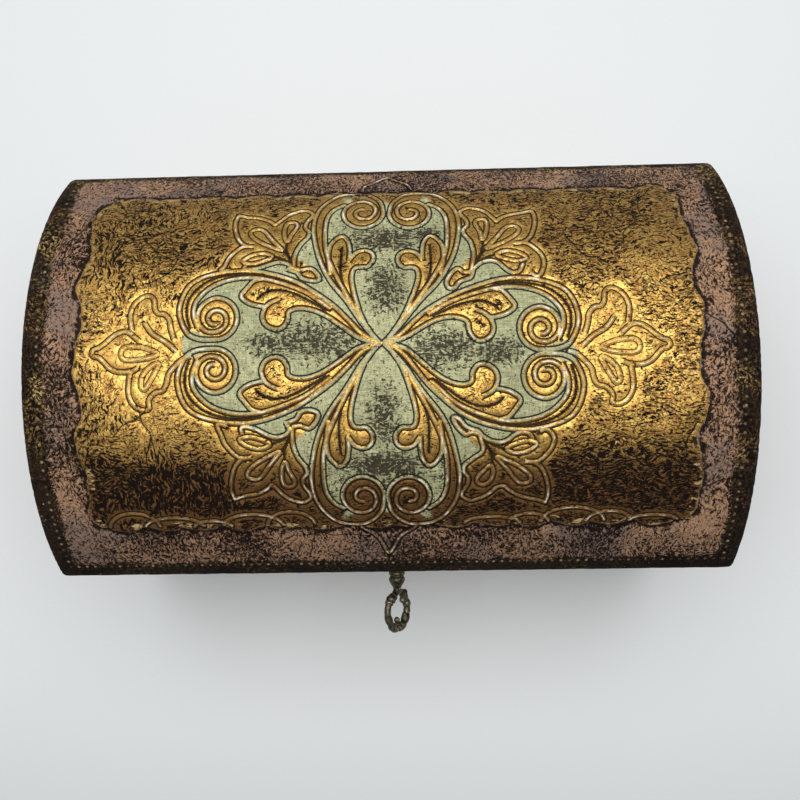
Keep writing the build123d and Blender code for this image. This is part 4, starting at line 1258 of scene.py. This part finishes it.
def gilding():
    """Gold leaf over gesso, a brown glaze and painted shade in its hollows, sage paint in the lobes, a dull
    rose border; painted shade darkens the lid towards its front.
    """
    f = Finish("florentine_gilding")
    flat = f.vector_fact("flat")
    cord, furrow, green, field = (f.fact(n) for n in ("cord", "furrow", "green", "field"))
    margin, mottle, verge = (f.fact(n) for n in ("margin", "mottle", "verge"))
    rub, rim, bead = (f.fact(n) for n in ("rub", "rim", "bead"))
    tarnish_and_shade, lip, chalky = (f.fact(n) for n in ("tarnish_and_shade", "lip", "chalky"))
    # the tarnishing fact read above also holds painted shade: it darkens the lid towards its front and back
    drift = f.noise(flat, 0.032, 3.0, 0.6)
    bent = f.shifted(flat, flat, 0.13, 2.0, 7.0)
    fine = f.noise(bent, 1.5, 6.0, 0.65)
    speck = f.noise(flat, 3.2, 3.0, 0.6)
    # glaze left in the wrinkles of the leaf, which run mostly round the lid and here and there along it,
    # spread further as painted shade towards the lid's front and back
    upright = f.noise(f.stretch(bent, (1.0, 0.26, 1.0)), 1.6, 5.0, 0.66, 0.3)
    level = f.noise(f.stretch(bent, (0.34, 1.15, 1.0)), 1.75, 5.0, 0.66, 0.3)
    lean = f.along(flat, (0.0014, 0.0, 0.0))
    wrinkle = f.lerp(f.step(f.add(f.noise(flat, 0.05, 2.0), lean), 0.48, 0.60), upright, level)
    patchy = f.mul(mottle, f.step(drift, 0.36, 0.60, 0.45, 1.0))
    grime_and_shade = f.mul(tarnish_and_shade, f.lerp(mottle, 0.035, 0.145))
    reach = f.add(f.mul(patchy, 0.085), grime_and_shade)
    reach = f.less(f.calc("MINIMUM", reach, 0.160), f.mul(lip, f.mul(tarnish_and_shade, 0.05)))
    dark = f.step(f.add(f.less(wrinkle, 0.604), reach), -0.014, 0.026)
    # a net of hair cracks, open in places
    ruffled = f.shifted(bent, flat, 0.9, 4.0, 1.6)
    net = f.cells(ruffled, 0.42, "DISTANCE_TO_EDGE")
    crack = f.step(net, 0.015, 0.060, 1.0, 0.0)
    crack = f.mul(crack, f.step(f.noise(flat, 0.14, 3.0, 0.6), 0.40, 0.54))
    crack = f.mul(crack, f.lerp(mottle, 0.45, 0.9))
    # leaf rubbed off the clay in specks
    grain = f.noise(flat, 1.7, 6.0, 0.72)
    # more clay specks where tarnished and, as painted shade, towards the lid's front
    bare_at = f.less(0.555, f.mul(f.add(mottle, tarnish_and_shade), 0.040))
    bare = f.step(f.less(grain, bare_at), -0.01, 0.040)
    gold = f.mix(f.step(f.noise(flat, 0.34, 6.0, 0.65), 0.36, 0.66), GOLD_DEEP, GOLD)
    gold = f.mix(f.mul(margin, 0.5), gold, OLIVE)
    # the gold goes bronze where tarnished and, as painted shade, towards the lid's front and back
    gold = f.mix(f.mul(tarnish_and_shade, 0.9), gold, BRONZE)
    colour = f.mix(f.mul(bare, 0.85), gold, BOLE)
    colour = f.mix(f.mul(crack, 0.85), colour, (0.05, 0.022, 0.012))
    colour = f.mix(dark, colour, GLAZE_AND_SHADE)
    # the border: dull rose, crackled black
    grit = f.noise(f.stretch(bent, (1.0, 0.6, 1.0)), 1.5, 6.0, 0.76)
    grit = f.add(grit, f.mul(f.less(drift, 0.5), 0.34))
    # the border darker where tarnished and in the painted shade
    grit = f.add(grit, f.mul(tarnish_and_shade, 0.014))
    grit = f.step(grit, 0.476, 0.528)
    grit = f.most(grit, f.mul(crack, 0.9))
    rose = f.mix(f.step(speck, 0.35, 0.65), ROSE_DEEP, ROSE)
    rose = f.mix(f.step(f.noise(flat, 0.045, 3.0, 0.6), 0.47, 0.60, 0.0, 0.65), rose, (0.17, 0.125, 0.110))
    border = f.mix(grit, rose, (0.010, 0.005, 0.0035))
    # painted shadow: near-black along the outside of the field's raised edge
    ragged = f.mul(f.less(f.noise(flat, 0.35, 6.0, 0.7), 0.5), 3.4)
    edge_shadow = f.step(f.add(verge, ragged), 0.58, 0.86)
    border = f.mix(f.mul(edge_shadow, 0.95), border, GLAZE_AND_SHADE)
    # gold flecks on the field's raised lip, partly painted highlights of its ragged edge, more of them where
    # tarnished and in the painted shade
    fleck = f.noise(f.stretch(flat, (0.40, 1.0, 1.0)), 0.42, 3.0, 0.6)
    fleck = f.mul(f.step(f.mul(lip, f.add(tarnish_and_shade, 0.35)), 0.30, 0.60), f.step(fleck, 0.54, 0.60))
    colour = f.mix(f.mul(fleck, 0.8), colour, (0.58, 0.42, 0.19))
    # dark nicks along the lip, partly painted shade in the gaps of its ragged edge
    nick = f.mul(f.step(lip, 0.22, 0.60), f.step(f.noise(flat, 0.50, 5.0, 0.68), 0.515, 0.565))
    colour = f.mix(f.mul(nick, 0.9), colour, GLAZE_AND_SHADE)
    colour = f.mix(field, border, colour)
    # sage paint, dragged both ways so that it looks woven, and rubbed dark in the middle of each lobe
    across = f.noise(f.stretch(flat, (0.22, 2.4, 1.0)), 1.0, 3.0)
    along = f.noise(f.stretch(flat, (2.4, 0.22, 1.0)), 1.0, 3.0)
    weave = f.mul(f.add(across, along), 0.5)
    sage_at = f.add(weave, f.mul(f.less(drift, 0.5), 0.3))
    sage = f.mix(f.step(sage_at, 0.40, 0.60), SAGE_DEEP, SAGE)
    smear = f.noise(f.stretch(bent, (0.42, 1.0, 1.0)), 1.9, 5.0, 0.70)
    smear = f.lerp(0.35, smear, f.noise(f.stretch(flat, (1.0, 0.5, 1.0)), 0.8, 5.0, 0.68))
    smear = f.add(smear, f.mul(f.less(weave, 0.5), 0.45))
    # the sage rubbed darker where tarnished and in the painted shade
    smear = f.add(smear, f.mul(tarnish_and_shade, 0.06))
    rubbed = f.step(f.add(smear, f.mul(rub, 0.118)), 0.558, 0.602)
    sage = f.mix(f.mul(rubbed, 0.93), sage, (0.016, 0.011, 0.008))
    sage = f.mix(f.step(fine, 0.62, 0.72, 0.0, 0.75), sage, (0.10, 0.085, 0.04))
    colour = f.mix(green, colour, sage)
    # the drawn lines: glaze and painted shade in the furrows, bare gesso on the cords
    groove = f.step(f.add(furrow, f.mul(f.less(speck, 0.5), 0.9)), 0.24, 0.52)
    colour = f.mix(f.mul(groove, 0.95), colour, GLAZE_AND_SHADE)
    worn = f.noise(flat, 0.24, 4.0, 0.65)
    chalk = f.mul(f.step(cord, 0.30, 0.78), f.step(worn, 0.40, 0.60, 0.30, 0.92))
    chalk = f.mul(chalk, chalky)
    tone_at = f.add(f.mul(worn, 0.6), f.mul(f.noise(flat, 0.8, 5.0, 0.7), 0.4))
    tone = f.mix(f.step(tone_at, 0.44, 0.60), GESSO_DULL, GESSO)
    tone = f.mix(f.step(worn, 0.53, 0.61), tone, (0.80, 0.75, 0.63))
    # cords duller where tarnished and in the painted shade
    tone = f.mix(f.mul(tarnish_and_shade, 0.12), tone, (0.14, 0.085, 0.040))
    colour = f.mix(chalk, colour, tone)
    # the outer edge: dark paint, and painted shade where the lid's front turns down; its punched dots, chips
    # and traces of gold
    uneven = f.mul(f.less(f.noise(flat, 0.075, 4.0, 0.65), 0.5), 1.6)
    uneven = f.add(uneven, f.mul(f.less(fine, 0.5), 2.2))
    edge = f.step(f.add(rim, uneven), 0.42, 0.74)
    colour = f.mix(f.mul(edge, 0.95), colour, RIM)
    trace = f.mul(f.step(rim, 0.3, 0.8), f.step(f.noise(bent, 1.1, 6.0, 0.78), 0.525, 0.58))
    trace = f.mul(trace, f.step(f.noise(flat, 0.06, 2.0), 0.42, 0.58, 0.15, 0.9))
    # fewer gold traces on the edge where tarnished and in the painted shade
    trace = f.mul(trace, f.less(1.0, f.mul(tarnish_and_shade, 0.85)))
    bright = f.step(f.noise(flat, 0.05, 2.0), 0.48, 0.62)
    colour = f.mix(trace, colour, f.mix(bright, (0.26, 0.15, 0.050), (0.62, 0.43, 0.16)))
    dot = f.mul(f.step(bead, 0.25, 0.7), f.step(worn, 0.44, 0.60, 0.10, 0.65))
    colour = f.mix(dot, colour, (0.38, 0.29, 0.17))
    chip = f.mul(f.step(rim, 0.75, 0.95), f.step(f.noise(flat, 0.5, 5.0, 0.72), 0.675, 0.705))
    colour = f.mix(chip, colour, GESSO)
    hidden = f.most(f.most(dark, groove), f.most(chalk, edge))
    hidden = f.most(hidden, f.mul(f.most(bare, crack), 0.8))
    gilt = f.mul(field, f.less(1.0, green))
    leaf = f.mul(f.less(1.0, hidden, clamp=True), gilt)
    rough = f.step(f.noise(flat, 0.5, 4.0), 0.3, 0.7, 0.36, 0.50)
    rough = f.lerp(leaf, f.step(fine, 0.3, 0.7, 0.5, 0.66), rough)
    rough = f.lerp(edge, rough, 0.84)
    pits = f.mul(grit, f.less(0.7, field, clamp=True))
    pits = f.most(f.mul(f.most(dark, crack), field), pits)
    height = f.less(f.mul(fine, 0.45), f.mul(pits, 0.5))
    height = f.add(height, f.mul(weave, f.mul(green, 0.3)))
    normal = f.bump(height, 0.0002, 0.8)
    return f.surface(
        Base_Color=colour, Metallic=f.mul(leaf, 0.92), Roughness=rough, Normal=normal,
        Specular_IOR_Level=0.08,
    )


def worn_edges(f):
    """High on raised edges and points of a shape."""
    return f.step(f.node("NewGeometry").outputs["Pointiness"], 0.505, 0.56)


def dark_bronze():
    """Olive-black patina over bronze, rubbed through on what a hand touches."""
    f = Finish("dark_bronze_patina")
    at = f.place()
    patina = f.noise(at, 0.55, 6.0, 0.62)
    fine = f.noise(at, 3.2, 4.0, 0.6)
    colour = f.mix(f.step(patina, 0.36, 0.64), (0.030, 0.026, 0.014), (0.115, 0.105, 0.070))
    colour = f.mix(f.step(fine, 0.56, 0.66), colour, (0.085, 0.050, 0.026))
    worn = f.mul(worn_edges(f), f.step(f.add(patina, f.mul(fine, 0.2)), 0.50, 0.66))
    colour = f.mix(worn, colour, (0.50, 0.44, 0.28))
    rough = f.lerp(worn, f.step(fine, 0.3, 0.7, 0.38, 0.56), 0.26)
    normal = f.bump(f.add(fine, f.mul(patina, 1.2)), 0.00010, 0.7)
    return f.surface(Base_Color=colour, Metallic=0.85, Roughness=rough, Normal=normal)


def aged_brass():
    """Brass that has gone brown, darkest in its corners, with fine rubbing marks."""
    f = Finish("aged_brass_tarnish")
    at = f.place()
    cloud = f.noise(at, 0.22, 6.0, 0.62)
    fine = f.noise(at, 2.4, 5.0, 0.62)
    marks = f.noise(f.stretch(at, (0.5, 9.0, 9.0), (0.2, 0.3, 0.5)), 1.0, 3.0)
    dull = f.add(cloud, f.mul(f.less(fine, 0.5), 0.5))
    colour = f.mix(f.step(dull, 0.40, 0.55), (0.46, 0.285, 0.090), (0.130, 0.072, 0.026))
    colour = f.mix(f.step(fine, 0.54, 0.62), colour, (0.035, 0.022, 0.011))
    colour = f.mix(f.mul(worn_edges(f), 0.6), colour, (0.72, 0.53, 0.25))
    rough = f.add(f.step(dull, 0.34, 0.66, 0.32, 0.56), f.mul(marks, 0.10))
    height = f.add(f.mul(fine, 0.6), f.mul(marks, 0.4))
    return f.surface(Base_Color=colour, Metallic=0.95, Roughness=rough, Normal=f.bump(height, 0.00008, 0.6))


def dull_steel():
    """Filed steel of a small lock, grey-brown, with a bloom of rust."""
    f = Finish("dull_steel_filed")
    at = f.place()
    file_marks = f.noise(f.stretch(at, (0.35, 7.0, 7.0)), 1.0, 4.0, 0.6)
    cloud = f.noise(at, 0.30, 5.0)
    fine = f.noise(at, 2.8, 5.0, 0.7)
    colour = f.mix(f.step(cloud, 0.36, 0.64), (0.30, 0.29, 0.275), (0.46, 0.45, 0.43))
    colour = f.mix(f.mul(f.step(file_marks, 0.50, 0.66), 0.5), colour, (0.16, 0.15, 0.14))
    rust = f.step(f.add(fine, f.mul(cloud, 0.35)), 0.74, 0.86)
    colour = f.mix(f.mul(rust, 0.8), colour, (0.14, 0.055, 0.022))
    rough = f.add(f.step(file_marks, 0.3, 0.7, 0.32, 0.48), f.mul(rust, 0.3))
    height = f.add(file_marks, f.mul(rust, 0.6))
    metal = f.less(1.0, f.mul(rust, 0.8))
    return f.surface(Base_Color=colour, Metallic=metal, Roughness=rough, Normal=f.bump(height, 0.00008, 0.6))


def stained_wood(name, along):
    """Plain softwood stained dark brown in patches; along is the grain's axis, 0, 1 or 2."""
    f = Finish(name)
    scale = [1.0, 1.0, 1.0]
    scale[along] = 0.06
    at = f.stretch(f.place(), tuple(scale))
    rings = f.noise(at, 0.55, 4.0, 0.6, 0.6)
    pores = f.noise(at, 4.0, 3.0, 0.6)
    lines = f.calc("PINGPONG", f.mul(rings, 9.0), 0.5)
    colour = f.mix(f.step(lines, 0.05, 0.45), (0.110, 0.056, 0.025), (0.215, 0.120, 0.058))
    colour = f.mix(f.step(pores, 0.55, 0.68), colour, (0.040, 0.020, 0.010))
    stain = f.noise(at, 0.16, 5.0, 0.65)
    colour = f.mix(f.step(stain, 0.40, 0.66, 0.0, 0.75), colour, (0.050, 0.024, 0.013))
    height = f.less(f.mul(lines, 0.4), f.step(pores, 0.55, 0.68))
    rough = f.step(pores, 0.35, 0.65, 0.50, 0.66)
    return f.surface(
        Base_Color=colour, Roughness=rough, Normal=f.bump(height, 0.00010, 0.5), Specular_IOR_Level=0.3,
    )


def baize():
    """Green felt under the casket: matted fibres, a little rubbed."""
    f = Finish("green_baize_felt")
    at = f.place()
    fibre = f.noise(f.stretch(at, (1.0, 0.35, 1.0), (0, 0, 0.6)), 3.4, 4.0, 0.7, 1.2)
    other = f.noise(f.stretch(at, (0.35, 1.0, 1.0), (0, 0, 0.3)), 3.1, 4.0, 0.7, 1.2)
    matted = f.mul(f.add(fibre, other), 0.5)
    cloud = f.noise(at, 0.06, 4.0)
    colour = f.mix(f.step(matted, 0.40, 0.60), (0.020, 0.055, 0.030), (0.065, 0.135, 0.078))
    colour = f.mix(f.mul(f.step(cloud, 0.48, 0.66), 0.5), colour, (0.085, 0.115, 0.070))
    return f.surface(
        Base_Color=colour, Roughness=0.95, Normal=f.bump(matted, 0.00025, 1.0),
        Specular_IOR_Level=0.1, Sheen_Weight=0.25, Sheen_Roughness=0.5,
    )


def velvet():
    """Short-pile red velvet: the pile lies in patches, light one way and dark the other."""
    f = Finish("red_velvet_pile")
    at = f.place()
    sweep = f.noise(f.stretch(at, (1.0, 0.6, 1.0)), 0.05, 4.0, 0.6, 0.8)
    patch = f.noise(at, 0.22, 4.0, 0.6, 1.5)
    tuft = f.cells(at, 2.6)
    pile = f.noise(at, 6.5, 3.0, 0.7)
    lie = f.add(f.mul(sweep, 0.6), f.mul(patch, 0.4))
    colour = f.mix(f.step(lie, 0.40, 0.60), (0.105, 0.006, 0.010), (0.300, 0.024, 0.034))
    colour = f.mix(f.step(tuft, 0.25, 0.62, 0.0, 0.55), colour, (0.050, 0.003, 0.006))
    colour = f.mix(f.step(pile, 0.52, 0.70, 0.0, 0.35), colour, (0.42, 0.055, 0.065))
    height = f.less(f.mul(pile, 0.6), f.mul(tuft, 0.5))
    height = f.add(height, f.mul(patch, 0.8))
    return f.surface(
        Base_Color=colour, Roughness=0.88, Normal=f.bump(height, 0.00022, 0.9),
        Specular_IOR_Level=0.12, Sheen_Weight=0.45, Sheen_Roughness=0.35, Sheen_Tint=(0.95, 0.35, 0.38),
    )


# how the names of the brass and the steel nodes start
BRASS_STARTS = ("hinge_body", "hinge_lid", "escutcheon", "lock_plate", "strike_plate")
STEEL_STARTS = (
    "hinge_pin", "lock_case", "lock_bolt", "lock_screws", "bolt_spring", "drill_pin", "strike_screws",
)


def paint(nodes, material):
    """Gives CAD nodes that stay in view their finish."""
    for name in nodes:
        for place in NODES[name].material_slots:
            place.material = material


# ================================================================ the view
def make_camera():
    camera = bpy.data.objects.new("camera", bpy.data.cameras.new("camera"))
    camera.location = (0.00932, -0.03298, 0.32964)
    camera.rotation_euler = (0.0904600, 0.0279825, -0.0164746)
    camera.data.lens = 36.05
    camera.data.sensor_width = 36.0
    camera.data.clip_start = 0.005
    camera.data.clip_end = 20.0
    bpy.context.scene.collection.objects.link(camera)
    bpy.context.scene.camera = camera


def make_floor():
    f = Finish("pale_paper")
    grain = f.noise(f.place(), 0.8, 5.0)
    colour = f.mix(grain, (0.695, 0.715, 0.725), (0.725, 0.745, 0.755))
    # painted shade: the paper darkens from 90 mm to 210 mm in front of the middle
    towards = f.along(f.place(), (0.0, -1.0, 0.0))
    colour = f.mix(f.step(towards, 90.0, 210.0), colour, (0.60, 0.62, 0.63))
    material = f.surface(Base_Color=colour, Roughness=0.75, Normal=f.bump(grain, 0.0001, 0.15))
    mesh = bpy.data.meshes.new("floor")
    size = 3.0
    square = [(x, y, 0) for x, y in box_outline(-size, size, -size, size)]
    mesh.from_pydata(square, [], [(0, 1, 2, 3)])
    mesh.materials.append(material)
    floor = bpy.data.objects.new("floor", mesh)
    bpy.context.scene.collection.objects.link(floor)


def make_light(name, place, target, size, power, colour=(1, 1, 1)):
    data = bpy.data.lights.new(name, "AREA")
    data.shape = "RECTANGLE"
    data.size, data.size_y = size
    data.energy = power
    data.color = colour
    light = bpy.data.objects.new(name, data)
    light.location = place
    light.rotation_euler = (Vector(target) - Vector(place)).to_track_quat("-Z", "Y").to_euler()
    bpy.context.scene.collection.objects.link(light)


def make_world():
    world = bpy.data.worlds.new("studio")
    world.use_nodes = True
    tree = world.node_tree
    background = tree.nodes["Background"]
    background.inputs[1].default_value = 1.0
    # the side where the photographer stands is dark: a soft spot in the world towards the front
    where = tree.nodes.new("ShaderNodeTexCoord")
    facing = tree.nodes.new("ShaderNodeVectorMath")
    facing.operation = "DOT_PRODUCT"
    facing.inputs[1].default_value = (0.0, -0.80, 0.60)
    tree.links.new(where.outputs["Generated"], facing.inputs[0])
    shade = tree.nodes.new("ShaderNodeMapRange")
    shade.interpolation_type = "SMOOTHSTEP"
    shade.inputs["From Min"].default_value = 0.45
    shade.inputs["From Max"].default_value = 0.88
    tree.links.new(facing.outputs["Value"], shade.inputs["Value"])
    blend = tree.nodes.new("ShaderNodeMix")
    blend.data_type = "RGBA"
    blend.inputs[6].default_value = (0.36, 0.38, 0.40, 1)
    blend.inputs[7].default_value = (0.14, 0.145, 0.15, 1)
    tree.links.new(shade.outputs["Result"], blend.inputs[0])
    tree.links.new(blend.outputs[2], background.inputs[0])
    bpy.context.scene.world = world


make_camera()
make_floor()
make_world()
make_light("window", (0.0, 0.17, 0.80), (0, 0.17, 0.0), (0.95, 0.80), 7.9, (1.0, 0.985, 0.965))
bpy.context.scene.view_settings.view_transform = "Standard"

GILDING = gilding()
lid_skin(GILDING)
front_skin(GILDING)
back_skin(GILDING)
for end in (-1, 1):
    end_skin(end, GILDING)
    lid_end_skin(end, GILDING)
VELVET = velvet()
body_linings(VELVET)
lid_linings(VELVET)
key_piece(dark_bronze())
BRASS = aged_brass()
STEEL = dull_steel()
LONG_GRAIN = stained_wood("stained_wood_long", 0)
CROSS_GRAIN = stained_wood("stained_wood_cross", 1)
paint(["front_panel", "back_panel", "bottom_panel", "lid_top", "lid_front_rail", "lid_back_rail"], LONG_GRAIN)
paint(["left_panel", "right_panel", "lid_left_end", "lid_right_end"], CROSS_GRAIN)
paint(["base_felt"], baize())
paint([n for n in NODES if n.startswith(BRASS_STARTS)], BRASS)
paint([n for n in NODES if n.startswith(STEEL_STARTS)], STEEL)
